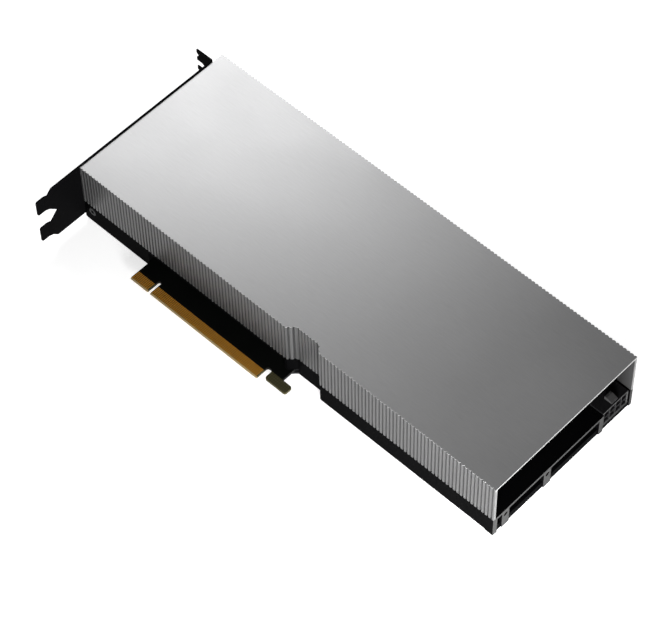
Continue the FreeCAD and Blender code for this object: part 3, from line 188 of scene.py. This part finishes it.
def buildCoatSkin():
    tree, start, end = startGroup(
        "coatSkin",
        [("Scale", "NodeSocketFloat", 1800.0)],
        [("Height", "NodeSocketFloat"), ("Speck", "NodeSocketFloat")],
    )
    place = objectPlace(tree)
    cells = placeNode(tree, "ShaderNodeTexVoronoi", {
        "Vector": place, "Scale": start.outputs["Scale"], "Smoothness": 0.6,
    }, feature="SMOOTH_F1")
    noise = placeNode(tree, "ShaderNodeTexNoise", {
        "Vector": place, "Scale": start.outputs["Scale"], "Detail": 4.0, "Roughness": 0.55,
    })
    height = maths(tree, "MULTIPLY", cells.outputs["Distance"], noise.outputs["Fac"])
    tree.links.new(height, end.inputs["Height"])
    tree.links.new(noise.outputs["Fac"], end.inputs["Speck"])
    return tree


wearShape = {
    "samples": 4,
    "flatAbove": 0.985,  # likeness of the soft and the real normal on a flat face
    "wornBelow": 0.75,  # and on a sharp edge
    "patchSpan": (0.35, 0.65),
    "leastPatch": 0.15,
}


def buildEdgeWear(s):
    tree, start, end = startGroup(
        "edgeWear",
        [("Radius", "NodeSocketFloat", 0.0003), ("Breakup", "NodeSocketFloat", 260.0)],
        [("Mask", "NodeSocketFloat")],
    )
    soft = placeNode(tree, "ShaderNodeBevel", {"Radius": start.outputs["Radius"]}, samples=s["samples"])
    real = placeNode(tree, "ShaderNodeNewGeometry").outputs["True Normal"]
    likeness = placeNode(
        tree, "ShaderNodeVectorMath", {0: soft.outputs["Normal"], 1: real}, operation="DOT_PRODUCT",
    )
    turned = spread(tree, likeness.outputs["Value"], 0.0, 1.0, s["flatAbove"], s["wornBelow"])
    place = objectPlace(tree)
    noise = placeNode(tree, "ShaderNodeTexNoise", {
        "Vector": place, "Scale": start.outputs["Breakup"], "Detail": 4.0,
    })
    patches = spread(tree, noise.outputs["Fac"], s["leastPatch"], 1.0, *s["patchSpan"])
    tree.links.new(maths(tree, "MULTIPLY", turned, patches, clamp=True), end.inputs["Mask"])
    return tree


hollowShape = {
    "samples": 6,
    "openness": (0.74, 0.96),  # from fully shaded to clear
}


# painted shade: ambient occlusion over a short reach, used to darken hollows in the base colour
def buildHollowShade(s):
    tree, start, end = startGroup(
        "hollowShade", [("Reach", "NodeSocketFloat", 0.0008)], [("Mask", "NodeSocketFloat")],
    )
    shade = placeNode(
        tree, "ShaderNodeAmbientOcclusion", {"Distance": start.outputs["Reach"]}, samples=s["samples"],
        only_local=True,
    )
    tree.links.new(spread(tree, shade.outputs["AO"], 1.0, 0.0, *s["openness"]), end.inputs["Mask"])
    return tree


# masks for a painted highlight: faces at the end past End From, and their upper part past Top From
def buildPaintedEndHighlight():
    tree, start, end = startGroup(
        "paintedEndHighlight",
        [("End From", "NodeSocketFloat", 0.1), ("Top From", "NodeSocketFloat", 1.0)],
        [("End", "NodeSocketFloat"), ("Top", "NodeSocketFloat")],
    )
    apart = apartXYZ(tree, objectPlace(tree))
    for axis, limit, mask in (("X", "End From", "End"), ("Z", "Top From", "Top")):
        past = maths(tree, "GREATER_THAN", apart[axis], start.outputs[limit])
        tree.links.new(past, end.inputs[mask])
    return tree


metalGrain = buildGrain()
coatSkin = buildCoatSkin()
edgeWear = buildEdgeWear(wearShape)
hollowShade = buildHollowShade(hollowShape)
paintedEndHighlight = buildPaintedEndHighlight()
print("shared effects built")


def startMaterial(name):
    material = bpy.data.materials.new(name)
    material.use_nodes = True
    tree = material.node_tree
    return material, tree, tree.nodes["Principled BSDF"]


def addBump(tree, shader, height, strength, distance):
    bump = placeNode(tree, "ShaderNodeBump", {"Height": height, "Strength": strength, "Distance": distance})
    tree.links.new(bump.outputs["Normal"], shader.inputs["Normal"])


# painted highlight: faces at the open end get a lighter tone, and their top part its own tone
def paintEndHighlight(tree, s, tone):
    if "endHighlightTone" not in s:
        return tone
    masks = useGroup(tree, paintedEndHighlight, {"End From": s["endFrom"], "Top From": s.get("endTopFrom", 1.0)})
    face = colour(s["endHighlightTone"])
    if "endTopHighlightTone" in s:
        face = mixColours(tree, masks["Top"], face, colour(s["endTopHighlightTone"]))
    return mixColours(tree, masks["End"], tone, face)


# painted highlight: the top of the piece and a lip at its open end get lighter tones
def paintSocketHighlight(tree, s, tone):
    if "topHighlightTone" not in s:
        return tone
    apart = apartXYZ(tree, objectPlace(tree))
    high = maths(tree, "GREATER_THAN", apart["Z"], s["lipAbove"])
    beyond = maths(tree, "GREATER_THAN", apart["Y"], s["lipBeyond"])
    forward = maths(tree, "GREATER_THAN", apart["X"], s["lipFrom"])
    onLip = maths(tree, "MULTIPLY", forward, maths(tree, "MAXIMUM", high, beyond))
    onTop = maths(tree, "GREATER_THAN", apart["Z"], s["topAbove"])
    tone = mixColours(tree, onTop, tone, colour(s["topHighlightTone"]))
    return mixColours(tree, onLip, tone, colour(s["lipHighlightTone"]))


# painted shade: inner faces darken with depth from the open end
def paintInsideShade(tree, s, tone):
    if "insideShadeTone" not in s:
        return tone
    along = apartXYZ(tree, objectPlace(tree))["X"]
    inside = placeNode(tree, "ShaderNodeAttribute", attribute_name="inside").outputs["Fac"]
    depth = spread(tree, along, 1.0, 0.0, s["insideFrom"], s["insideTo"])
    return mixColours(tree, maths(tree, "MULTIPLY", inside, depth), tone, colour(s["insideShadeTone"]))


# painted shade: faces that stand upright get a darker tone than the top, for the dimmer light on the sides
def paintSideShade(tree, s, tone):
    if "paintedSideShade" not in s:
        return tone
    normal = placeNode(tree, "ShaderNodeNewGeometry").outputs["True Normal"]
    upwards = maths(tree, "ABSOLUTE", apartXYZ(tree, normal)["Z"])
    shade = spread(tree, upwards, s["paintedSideShade"], 1.0, *s["sideSpan"])
    scaled = placeNode(tree, "ShaderNodeVectorMath", {0: tone, "Scale": shade}, operation="SCALE")
    # painted highlight: slanted bevel faces between side and top get a light tone
    upright, level = s["slantSpan"]
    notUpright = maths(tree, "GREATER_THAN", upwards, upright)
    notLevel = maths(tree, "LESS_THAN", upwards, level)
    slanted = maths(tree, "MULTIPLY", notUpright, notLevel)
    return mixColours(tree, slanted, scaled.outputs[0], colour(s["paintedEdgeHighlight"]))


def wearEdges(tree, s, tone):
    wear = useGroup(tree, edgeWear, {"Radius": s["edge"]})["Mask"]
    return mixColours(tree, maths(tree, "MULTIPLY", wear, s["wearAmount"]), tone, colour(s["worn"]))


# What a finish has unless its piece says otherwise

metalDefaults = {
    "stretch": (1, 1, 1),
    "scale": 900.0,
    "cloudScale": 24.0,
    "cloudSpan": (0.3, 0.7),
    "grainRough": 0.04,
    "edge": 0.0003,
    "wearAmount": 0.5,
    "metallic": 1.0,
    "specular": 0.5,
    "bump": 0.12,
    "bumpDepth": 0.00002,
}
coatDefaults = {
    "scale": 1800.0,
    "speckSpan": (0.3, 0.7),
    "edge": 0.0003,
    "wearAmount": 0.5,
    "specular": 0.3,
    "bump": 0.2,
    "bumpDepth": 0.00003,
}


def metalFinish(name, settings):
    s = {**metalDefaults, **settings}
    material, tree, shader = startMaterial(name)
    grain = useGroup(tree, metalGrain, {
        "Stretch": s["stretch"], "Scale": s["scale"], "Cloud Scale": s["cloudScale"],
    })
    tone = mixColours(tree, grain["Grain"], colour(s["dark"]), colour(s["light"]))
    tone = paintSideShade(tree, s, tone)
    # painted shade: the cover's grooves and other hollows are darkened in the base colour
    if "hollow" in s:
        hollow = useGroup(tree, hollowShade, {"Reach": s["reach"]})["Mask"]
        tone = mixColours(tree, maths(tree, "MULTIPLY", hollow, s["hollowAmount"]), tone, colour(s["hollow"]))
    tone = paintInsideShade(tree, s, paintEndHighlight(tree, s, wearEdges(tree, s, tone)))
    tree.links.new(tone, shader.inputs["Base Color"])
    cloudy = spread(tree, grain["Cloud"], *s["rough"], *s["cloudSpan"])
    grainy = spread(tree, grain["Grain"], -s["grainRough"], s["grainRough"])
    tree.links.new(maths(tree, "ADD", cloudy, grainy, clamp=True), shader.inputs["Roughness"])
    shader.inputs["Metallic"].default_value = s["metallic"]
    shader.inputs["Specular IOR Level"].default_value = s["specular"]
    addBump(tree, shader, grain["Grain"], s["bump"], s["bumpDepth"])
    return material


def coatFinish(name, settings):
    s = {**coatDefaults, **settings}
    material, tree, shader = startMaterial(name)
    skin = useGroup(tree, coatSkin, {"Scale": s["scale"]})
    tone = wearEdges(tree, s, mixColours(tree, skin["Speck"], colour(s["dark"]), colour(s["light"])))
    tone = paintSocketHighlight(tree, s, paintEndHighlight(tree, s, tone))
    tree.links.new(tone, shader.inputs["Base Color"])
    tree.links.new(spread(tree, skin["Speck"], *s["rough"], *s["speckSpan"]), shader.inputs["Roughness"])
    shader.inputs["Specular IOR Level"].default_value = s["specular"]
    addBump(tree, shader, skin["Height"], s["bump"], s["bumpDepth"])
    return material


def dress(nodeName, material):
    mesh = cadNodes[nodeName].data
    if not mesh.materials:
        mesh.materials.append(material)
    for place in cadNodes[nodeName].material_slots:
        place.material = material


def addPiece(name, bm, material, slotName, *nodeNames):
    mesh = bpy.data.meshes.new(name)
    bm.to_mesh(mesh)
    bm.free()
    mesh.materials.append(material)
    piece = bpy.data.objects.new(name, mesh)
    bpy.context.scene.collection.objects.link(piece)
    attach(piece, "root")
    if nodeNames:
        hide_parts(*nodeNames)
    return piece


def cleanCopy(nodeName, mergeWithin=2e-6, flatWithin=1):
    bm = bmesh.new()
    bm.from_mesh(cadNodes[nodeName].data)
    bmesh.ops.remove_doubles(bm, verts=bm.verts, dist=mergeWithin)
    bmesh.ops.dissolve_limit(
        bm, angle_limit=math.radians(flatWithin), use_dissolve_boundaries=False,
        verts=bm.verts, edges=bm.edges, delimit=set(),
    )
    return bm


def roundEdges(bm, edges, width, segments):
    bmesh.ops.bevel(
        bm, geom=edges, offset=width, offset_type="OFFSET", segments=segments, profile=0.5,
        affect="EDGES", clamp_overlap=True, material=-1,
    )


def bevelSharp(bm, width, segments=2, angle=35):
    limit = math.radians(angle)
    sharp = [edge for edge in bm.edges if edge.is_manifold and edge.calc_face_angle() > limit]
    roundEdges(bm, sharp, width, segments)


def markInside(bm, s):
    middle = sum((vertex.co for vertex in bm.verts), Vector()) / len(bm.verts)
    inside = bm.faces.layers.float.new("inside")
    for face in bm.faces:
        place = face.calc_center_median()
        inwards = face.normal.y * (middle.y - place.y) > s["inwardsAbove"] * abs(middle.y - place.y)
        ceiling = face.normal.z < s["ceilingBelow"] and place.z > middle.z
        face[inside] = 1.0 if abs(face.normal.x) < s["endwaysAbove"] and (inwards or ceiling) else 0.0


def bevelledPiece(name, nodeName, material, slotName, s):
    bm = cleanCopy(nodeName)
    bevelSharp(bm, s["bevel"], s.get("segments", 2))
    if "insideShadeTone" in s:
        markInside(bm, s)
    for face in bm.faces:
        face.material_index = 0
        face.smooth = s.get("smooth", False)
    piece = addPiece(name, bm, material, slotName, nodeName)
    if s.get("smooth"):
        piece.data.set_sharp_from_angle(angle=math.radians(s["smoothAngle"]))
    return piece


# Cover

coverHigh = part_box("shroud")[1]
cover = {
    "bevel": 0.14 * millimetre,
    "dark": (0.26, 0.26, 0.262),
    "light": (0.32, 0.32, 0.322),
    "worn": (0.42, 0.42, 0.42),
    # painted shade in the grooves
    "hollow": (0.022, 0.022, 0.022),
    "hollowAmount": 1.0,
    # painted shade on the sides, as a share of the top's tone
    "paintedSideShade": 0.40,
    "sideSpan": (0.35, 0.75),  # how far up a face looks, from side to top
    "slantSpan": (0.15, 0.985),  # between these it is a bevel, which gets a painted highlight
    "paintedEdgeHighlight": (0.85, 0.85, 0.85),
    # painted shade inside the cover, within 14 mm of the open end
    "insideShadeTone": (0.004, 0.004, 0.004),
    "insideFrom": coverHigh.x - 14 * millimetre,
    "insideTo": coverHigh.x - 1 * millimetre,
    "inwardsAbove": 0.01,
    "ceilingBelow": -0.7,
    "endwaysAbove": 0.5,
    # painted highlight on the cover's end face and the top of its rim
    "endHighlightTone": (0.24, 0.24, 0.24),
    "endTopHighlightTone": (0.44, 0.44, 0.44),
    "endTopFrom": coverHigh.z - 1.6 * millimetre,
    "endFrom": coverHigh.x - 0.05 * millimetre,
    "metallic": 0.7,
    "specular": 0.12,
    "reach": 0.9 * millimetre,
    "rough": (0.34, 0.40),
    "stretch": (0.06, 1, 1),
    "scale": 2200.0,
    "cloudScale": 14.0,
    "edge": 0.00025,
    "bump": 0.10,
}
bevelledPiece("reededCover", "shroud", metalFinish("brushedCover", cover), "brushed_cover", cover)
print("cover made")


# Base frame

baseFrame = {
    "bevel": 0.18 * millimetre,
    "dark": (0.001, 0.001, 0.0011),
    "light": (0.0022, 0.0022, 0.0024),
    "worn": (0.012, 0.012, 0.012),
    # painted highlight on the frame's end faces
    "endHighlightTone": (0.062, 0.062, 0.062),
    "endFrom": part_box("base_frame")[1].x - 0.1 * millimetre,
    "rough": (0.46, 0.6),
    "specular": 0.004,
}
bevelledPiece("castFrame", "base_frame", coatFinish("blackCast", baseFrame), "black_cast", baseFrame)
print("base frame made")


# Mounting bracket

bracket = {
    "bevel": 0.10 * millimetre,
    "dark": (0.002, 0.002, 0.0022),
    "light": (0.004, 0.004, 0.0043),
    "worn": (0.02, 0.02, 0.02),
    "rough": (0.42, 0.52),
    "scale": 2600.0,
    "specular": 0.004,
}
bevelledPiece("mountingBracket", "io_bracket", coatFinish("blackBracket", bracket), "black_bracket", bracket)


# Backplate

backplate = {
    "bevel": 0.10 * millimetre,
    "dark": (0.011, 0.011, 0.012),
    "light": (0.018, 0.018, 0.019),
    "worn": (0.06, 0.06, 0.06),
    "rough": (0.44, 0.56),
    "specular": 0.3,
}
backplateFinish = coatFinish("blackBackplate", backplate)
bevelledPiece("coatedBackplate", "backplate", backplateFinish, "black_backplate", backplate)
print("bracket and backplate made")


# Circuit board

contactsLow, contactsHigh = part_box("edge_contacts")
board = {
    "bevel": 0.06 * millimetre,
    "mask": (0.002, 0.0022, 0.002),
    "maskLight": (0.005, 0.0055, 0.005),
    "laminate": (0.050, 0.046, 0.022),
    "laminateLight": (0.085, 0.078, 0.042),
    "bareBelow": contactsHigh.y + 0.1 * millimetre,
    "chamfer": (0.26, 0.20, 0.10),
    "chamferBelow": contactsLow.y - 0.05 * millimetre,
    "chamferEnd": contactsHigh.x + 0.8 * millimetre,
    "hookBareBelow": contactsHigh.y + 2.0 * millimetre,
    "weave": {"Scale": 260.0, "Distortion": 0.6, "Detail": 1.0},
    "cloud": {"Scale": 60.0, "Detail": 4.0},
    "rough": (0.30, 0.42),
    "bareRough": 0.2,  # added where the laminate is bare
    "specular": 0.06,
    "bump": 0.15,
    "bumpDepth": 0.00002,
}


def boardFinish(s):
    material, tree, shader = startMaterial("solderMask")
    place = objectPlace(tree)
    apart = apartXYZ(tree, place)
    threads = [
        placeNode(tree, "ShaderNodeTexWave", {"Vector": place, **s["weave"]}, bands_direction=axis)
        for axis in ("X", "Y")
    ]
    weave = maths(tree, "MULTIPLY", *(thread.outputs["Fac"] for thread in threads))
    cloud = placeNode(tree, "ShaderNodeTexNoise", {"Vector": place, **s["cloud"]}).outputs["Fac"]
    nearHook = maths(tree, "LESS_THAN", apart["Y"], s["hookBareBelow"])
    pastContacts = maths(tree, "GREATER_THAN", apart["X"], s["chamferEnd"])
    onHook = maths(tree, "MULTIPLY", nearHook, pastContacts)
    bare = maths(tree, "MAXIMUM", maths(tree, "LESS_THAN", apart["Y"], s["bareBelow"]), onHook)
    atEdge = maths(tree, "LESS_THAN", apart["Y"], s["chamferBelow"])
    beforeHook = maths(tree, "LESS_THAN", apart["X"], s["chamferEnd"])
    onChamfer = maths(tree, "MULTIPLY", atEdge, beforeHook)
    maskTone = mixColours(tree, cloud, colour(s["mask"]), colour(s["maskLight"]))
    bareTone = mixColours(tree, weave, colour(s["laminate"]), colour(s["laminateLight"]))
    bareTone = mixColours(tree, onChamfer, bareTone, colour(s["chamfer"]))
    tree.links.new(mixColours(tree, bare, maskTone, bareTone), shader.inputs["Base Color"])
    cloudy = spread(tree, cloud, *s["rough"])
    rough = maths(tree, "ADD", cloudy, maths(tree, "MULTIPLY", bare, s["bareRough"]))
    tree.links.new(rough, shader.inputs["Roughness"])
    shader.inputs["Specular IOR Level"].default_value = s["specular"]
    addBump(tree, shader, weave, s["bump"], s["bumpDepth"])
    return material


bevelledPiece("circuitBoard", "circuit_board", boardFinish(board), "board", board)

contacts = {
    "bevel": 0.018 * millimetre,
    "segments": 1,
    "dark": (0.72, 0.30, 0.026),
    "light": (0.84, 0.37, 0.038),
    "worn": (0.95, 0.66, 0.30),
    "metallic": 0.45,
    "rough": (0.34, 0.42),
    "stretch": (1, 0.2, 1),
    "edge": 0.0001,
}
contactMetal = metalFinish("goldContactMetal", contacts)
bevelledPiece("goldContacts", "edge_contacts", contactMetal, "gold_contacts", contacts)
print("circuit board made")


# Power socket

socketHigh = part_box("power_socket")[1]
socket = {
    "bevel": 0.12 * millimetre,
    "dark": (0.006, 0.006, 0.0065),
    "light": (0.011, 0.011, 0.0115),
    "worn": (0.03, 0.03, 0.03),
    "rough": (0.38, 0.5),
    "scale": 1400.0,
    "specular": 0.05,
    "bump": 0.1,
    # painted highlight on the socket's top and on its end lip
    "topHighlightTone": (0.036, 0.036, 0.036),
    "topAbove": socketHigh.z - 1.8 * millimetre,
    "lipHighlightTone": (0.062, 0.062, 0.062),
    "lipFrom": socketHigh.x - 0.15 * millimetre,
    "lipAbove": socketHigh.z - 2.8 * millimetre,
    "lipBeyond": socketHigh.y - 1.2 * millimetre,
}
bevelledPiece("powerSocket", "power_socket", coatFinish("socketPlastic", socket), "socket_plastic", socket)
print("power socket made")


# Screws, each with a six-lobed recess in its head

screws = {
    "bevel": 0.12 * millimetre,
    "dark": (0.012, 0.012, 0.0125),
    "light": (0.020, 0.020, 0.021),
    "worn": (0.035, 0.035, 0.035),
    "rough": (0.34, 0.44),
    "metallic": 0.3,
    "specular": 0.05,
    "edge": 0.0002,
    "rimSegments": 3,
    "points": 48,
    "lobes": 6,
    "lobe": 0.14,  # how far a lobe stands out, as a share of the recess
    "depth": 0.7 * millimetre,
    "taper": 0.92,
}


def screwIslands(bm):  # in the mesh's own order
    seen = set()
    for first in bm.faces:
        if first in seen:
            continue
        seen.add(first)
        found, waiting = [], [first]
        while waiting:
            face = waiting.pop()
            found.append(face)
            for edge in face.edges:
                for other in edge.link_faces:
                    if other not in seen:
                        seen.add(other)
                        waiting.append(other)
        yield found


def cutRecess(bm, head, radius, s):
    middle, outwards = head.calc_center_median(), head.normal.copy()
    across = outwards.orthogonal().normalized()
    upwards = outwards.cross(across)
    rim = list(head.edges)
    ring = []
    for number in range(s["points"]):
        turn = 2 * math.pi * number / s["points"]
        reach = radius * (1 + s["lobe"] * math.cos(s["lobes"] * turn))
        ring.append(bm.verts.new(middle + reach * (math.cos(turn) * across + math.sin(turn) * upwards)))
    lobes = [bm.edges.new((ring[number - 1], ring[number])) for number in range(len(ring))]
    bmesh.ops.delete(bm, geom=[head], context="FACES_ONLY")
    bmesh.ops.triangle_fill(bm, edges=rim + lobes, use_beauty=True, normal=outwards)
    sunk = bmesh.ops.extrude_edge_only(bm, edges=lobes)["geom"]
    low = [vertex for vertex in sunk if isinstance(vertex, bmesh.types.BMVert)]
    for vertex in low:
        vertex.co = middle + (vertex.co - middle) * s["taper"] - outwards * s["depth"]
    sunkEdges = [edge for edge in sunk if isinstance(edge, bmesh.types.BMEdge)]
    floorEdges = [edge for edge in sunkEdges if set(edge.verts) <= set(low)]
    bmesh.ops.contextual_create(bm, geom=floorEdges)


def recessedScrews(name, nodeName, recessRadius, material, slotName, s):
    bm = cleanCopy(nodeName)
    heads = [max(island, key=lambda face: face.calc_area()) for island in screwIslands(bm)]
    rims = [edge for head in heads for edge in head.edges]
    marks = [(head.calc_center_median(), head.normal.copy()) for head in heads]
    roundEdges(bm, rims, s["bevel"], s["rimSegments"])
    for place, outwards in marks:
        head = min(
            (face for face in bm.faces if face.normal.dot(outwards) > 0.99),
            key=lambda face: (face.calc_center_median() - place).length,
        )
        cutRecess(bm, head, recessRadius, s)
    bmesh.ops.recalc_face_normals(bm, faces=bm.faces)
    addPiece(name, bm, material, slotName, nodeName)


plainScrews = {
    **screws,
    "dark": (0.42, 0.42, 0.42),
    "light": (0.54, 0.54, 0.54),
    "worn": (0.7, 0.7, 0.7),
    "rough": (0.28, 0.38),
    "metallic": 1.0,
}
blackSteel = metalFinish("blackScrewSteel", screws)
plainSteel = metalFinish("plainScrewSteel", plainScrews)
for name, nodeName, recess, steel, slotName, values in (
    ("plateScrews", "backplate_screws", 1.15 * millimetre, blackSteel, "screw_steel", screws),
    ("coverScrews", "shroud_screws", 0.95 * millimetre, blackSteel, "screw_steel", screws),
    ("earScrews", "bracket_screws", 1.15 * millimetre, blackSteel, "screw_steel", screws),
    ("clampScrews", "heatsink_screws", 1.3 * millimetre, plainSteel, "bare_steel", plainScrews),
):
    recessedScrews(name, nodeName, recess, steel, slotName, values)
print("screws made")


# Finishes of the pieces inside

insideFinishes = {
    "backplate_insulator": ("coat", "insulatingFilm", {
        "dark": (0.016, 0.016, 0.018), "light": (0.024, 0.024, 0.027), "worn": (0.05, 0.05, 0.05),
        "rough": (0.25, 0.35), "scale": 700.0, "bump": 0.05}),
    "processor_substrate": ("coat", "packageLaminate", {
        "dark": (0.020, 0.070, 0.036), "light": (0.032, 0.095, 0.050), "worn": (0.16, 0.15, 0.08),
        "rough": (0.32, 0.42), "specular": 0.5}),
    "processor_die": ("metal", "dieSilicon", {
        "dark": (0.10, 0.11, 0.13), "light": (0.15, 0.16, 0.19), "worn": (0.3, 0.3, 0.3),
        "rough": (0.12, 0.2),
        "metallic": 0.6, "bump": 0.02}),
    "memory_stacks": ("metal", "memorySilicon", {
        "dark": (0.08, 0.09, 0.11), "light": (0.12, 0.13, 0.15), "worn": (0.3, 0.3, 0.3),
        "rough": (0.16, 0.24),
        "metallic": 0.6, "bump": 0.02}),
    "package_stiffener": ("metal", "stiffenerSteel", {
        "dark": (0.5, 0.5, 0.5), "light": (0.6, 0.6, 0.6), "worn": (0.7, 0.7, 0.7),
        "rough": (0.3, 0.38)}),
    "thermal_compound": ("coat", "thermalCompound", {
        "dark": (0.38, 0.38, 0.37), "light": (0.47, 0.47, 0.46), "worn": (0.5, 0.5, 0.5),
        "rough": (0.6, 0.75),
        "scale": 900.0}),
    "heat_spreader": ("metal", "spreaderMetal", {
        "dark": (0.52, 0.50, 0.46), "light": (0.62, 0.60, 0.56), "worn": (0.7, 0.68, 0.64),
        "rough": (0.28, 0.36),
        "stretch": (0.08, 1, 1)}),
    "heatsink_posts": ("metal", "postSteel", {
        "dark": (0.5, 0.5, 0.5), "light": (0.6, 0.6, 0.6), "worn": (0.7, 0.7, 0.7), "rough": (0.25, 0.34),
        "stretch": (1, 1, 0.1)}),
    "fin_stack": ("metal", "finAluminium", {
        "dark": (0.46, 0.47, 0.48), "light": (0.56, 0.57, 0.58), "worn": (0.66, 0.66, 0.66),
        "rough": (0.3, 0.4),
        "stretch": (0.05, 1, 1)}),
    "power_inductors": ("coat", "ferriteCase", {
        "dark": (0.045, 0.045, 0.047), "light": (0.075, 0.075, 0.078), "worn": (0.12, 0.12, 0.12),
        "rough": (0.55, 0.7), "bevel": 0.35 * millimetre, "segments": 3,
        "piece": "powerInductors", "slot": "ferrite"}),
    "inductor_thermal_pads": ("coat", "thermalPad", {
        "dark": (0.36, 0.40, 0.42), "light": (0.44, 0.48, 0.50), "worn": (0.5, 0.52, 0.54),
        "rough": (0.7, 0.85),
        "scale": 900.0}),
    "power_stages": ("coat", "stageEpoxy", {
        "dark": (0.016, 0.016, 0.017), "light": (0.026, 0.026, 0.027), "worn": (0.06, 0.06, 0.06),
        "rough": (0.4, 0.52)}),
    "support_chips": ("coat", "chipEpoxy", {
        "dark": (0.018, 0.018, 0.019), "light": (0.028, 0.028, 0.029), "worn": (0.06, 0.06, 0.06),
        "rough": (0.4, 0.52)}),
    "bulk_capacitors": ("metal", "canAluminium", {
        "dark": (0.5, 0.5, 0.51), "light": (0.62, 0.62, 0.63), "worn": (0.7, 0.7, 0.7),
        "rough": (0.26, 0.34),
        "stretch": (1, 1, 0.1), "bevel": 0.4 * millimetre, "segments": 4, "smooth": True,
        "smoothAngle": 40,
        "piece": "bulkCans", "slot": "can_aluminium"}),
    "socket_terminals": ("metal", "terminalMetal", {
        "dark": (0.50, 0.48, 0.44), "light": (0.60, 0.58, 0.54), "worn": (0.7, 0.68, 0.64),
        "rough": (0.26, 0.34)}),
    "terminal_tails": ("metal", "tailMetal", {
        "dark": (0.50, 0.48, 0.44), "light": (0.60, 0.58, 0.54), "worn": (0.7, 0.68, 0.64),
        "rough": (0.26, 0.34)}),
    "heatsink_washers": ("metal", "washerSteel", {
        "dark": (0.42, 0.42, 0.42), "light": (0.54, 0.54, 0.54), "worn": (0.7, 0.7, 0.7),
        "rough": (0.28, 0.38)}),
}
for nodeName, (kind, finishName, values) in insideFinishes.items():
    makeFinish = metalFinish if kind == "metal" else coatFinish
    finish = makeFinish(finishName, values)
    if "piece" in values:
        bevelledPiece(values["piece"], nodeName, finish, values["slot"], values)
    else:
        dress(nodeName, finish)
print("inside pieces dressed")


# Floor, low wall round it, lamps and world

stage = {
    "floorRadius": 3.0,
    "floorSegments": 96,
    "wallHeight": 1.3,
    "sweep": 0.5,
    "sweepSegments": 12,
    "gap": 0.05 * millimetre,  # floor below the card
    "colour": (0.85, 0.85, 0.85),
    "rough": 0.9,
    "specular": 0.0,
    "glow": 0.7,
    "worldColour": (0.100, 0.100, 0.100),
}


def buildStage(s):
    material, tree, shader = startMaterial("paleFloor")
    shader.inputs["Base Color"].default_value = colour(s["colour"])
    shader.inputs["Roughness"].default_value = s["rough"]
    shader.inputs["Specular IOR Level"].default_value = s["specular"]
    path = placeNode(tree, "ShaderNodeLightPath").outputs
    seen = maths(tree, "MAXIMUM", path["Is Camera Ray"], path["Is Glossy Ray"])
    seen = maths(tree, "MAXIMUM", seen, path["Is Transmission Ray"])
    glow = placeNode(tree, "ShaderNodeEmission", {"Strength": maths(tree, "MULTIPLY", seen, s["glow"])})
    both = placeNode(tree, "ShaderNodeAddShader", {0: shader.outputs[0], 1: glow.outputs[0]})
    clear = placeNode(tree, "ShaderNodeBsdfTransparent")
    under = placeNode(tree, "ShaderNodeNewGeometry").outputs["Backfacing"]
    sided = placeNode(tree, "ShaderNodeMixShader", {0: under, 1: both.outputs[0], 2: clear.outputs[0]})
    tree.links.new(sided.outputs[0], tree.nodes["Material Output"].inputs["Surface"])
    bm = bmesh.new()
    bmesh.ops.create_circle(bm, cap_ends=True, radius=s["floorRadius"], segments=s["floorSegments"])
    rim = [edge for edge in bm.edges if edge.is_boundary]
    wall = bmesh.ops.extrude_edge_only(bm, edges=rim)["geom"]
    wallTop = [part for part in wall if isinstance(part, bmesh.types.BMVert)]
    bmesh.ops.translate(bm, verts=wallTop, vec=(0, 0, s["wallHeight"]))
    roundEdges(bm, rim, s["sweep"], s["sweepSegments"])
    bmesh.ops.recalc_face_normals(bm, faces=bm.faces)
    if max(bm.faces, key=lambda face: face.calc_area()).normal.z < 0:
        bmesh.ops.reverse_faces(bm, faces=bm.faces)
    bmesh.ops.translate(bm, verts=bm.verts, vec=(0, 0, cadLow.z - s["gap"]))
    mesh = bpy.data.meshes.new("floor")
    bm.to_mesh(mesh)
    bm.free()
    mesh.materials.append(material)
    mesh.shade_smooth()
    floor = bpy.data.objects.new("floor", mesh)
    bpy.context.scene.collection.objects.link(floor)


def addSoftbox(name, s):
    lamp = bpy.data.lights.new(name, "AREA")
    lamp.shape = "RECTANGLE"
    lamp.size, lamp.size_y = s["size"]
    lamp.energy = s["watts"]
    holder = bpy.data.objects.new(name, lamp)
    bpy.context.scene.collection.objects.link(holder)
    place, aim = Vector(s["place"]), Vector(s["aim"])
    holder.visible_camera = False
    holder.visible_glossy = s["mirrored"]
    turn = (aim - place).to_track_quat("-Z", "Y").to_matrix().to_4x4()
    holder.matrix_world = Matrix.Translation(place) @ turn


lamps = {
    "softboxAboveBracket": {
        "place": (-0.525, 0.385, 0.46),
        "aim": (-0.205, 0.075, 0.04),
        "size": (0.42, 0.42),
        "watts": 3.75,
        "mirrored": True,
    },
    "lampAtOpenEnd": {
        "place": (0.31, -0.24, 0.075),
        "aim": (0.12, -0.04, 0.02),
        "size": (0.12, 0.12),
        "watts": 3.5,
        "mirrored": False,  # lights the ridges and leaves no patch in the top
    },
}
buildStage(stage)
for name, values in lamps.items():
    addSoftbox(name, values)
world = bpy.data.worlds.new("studio")
bpy.context.scene.world = world
world.use_nodes = True
world.node_tree.nodes["Background"].inputs["Color"].default_value = colour(stage["worldColour"])
print("stage and lamps placed")
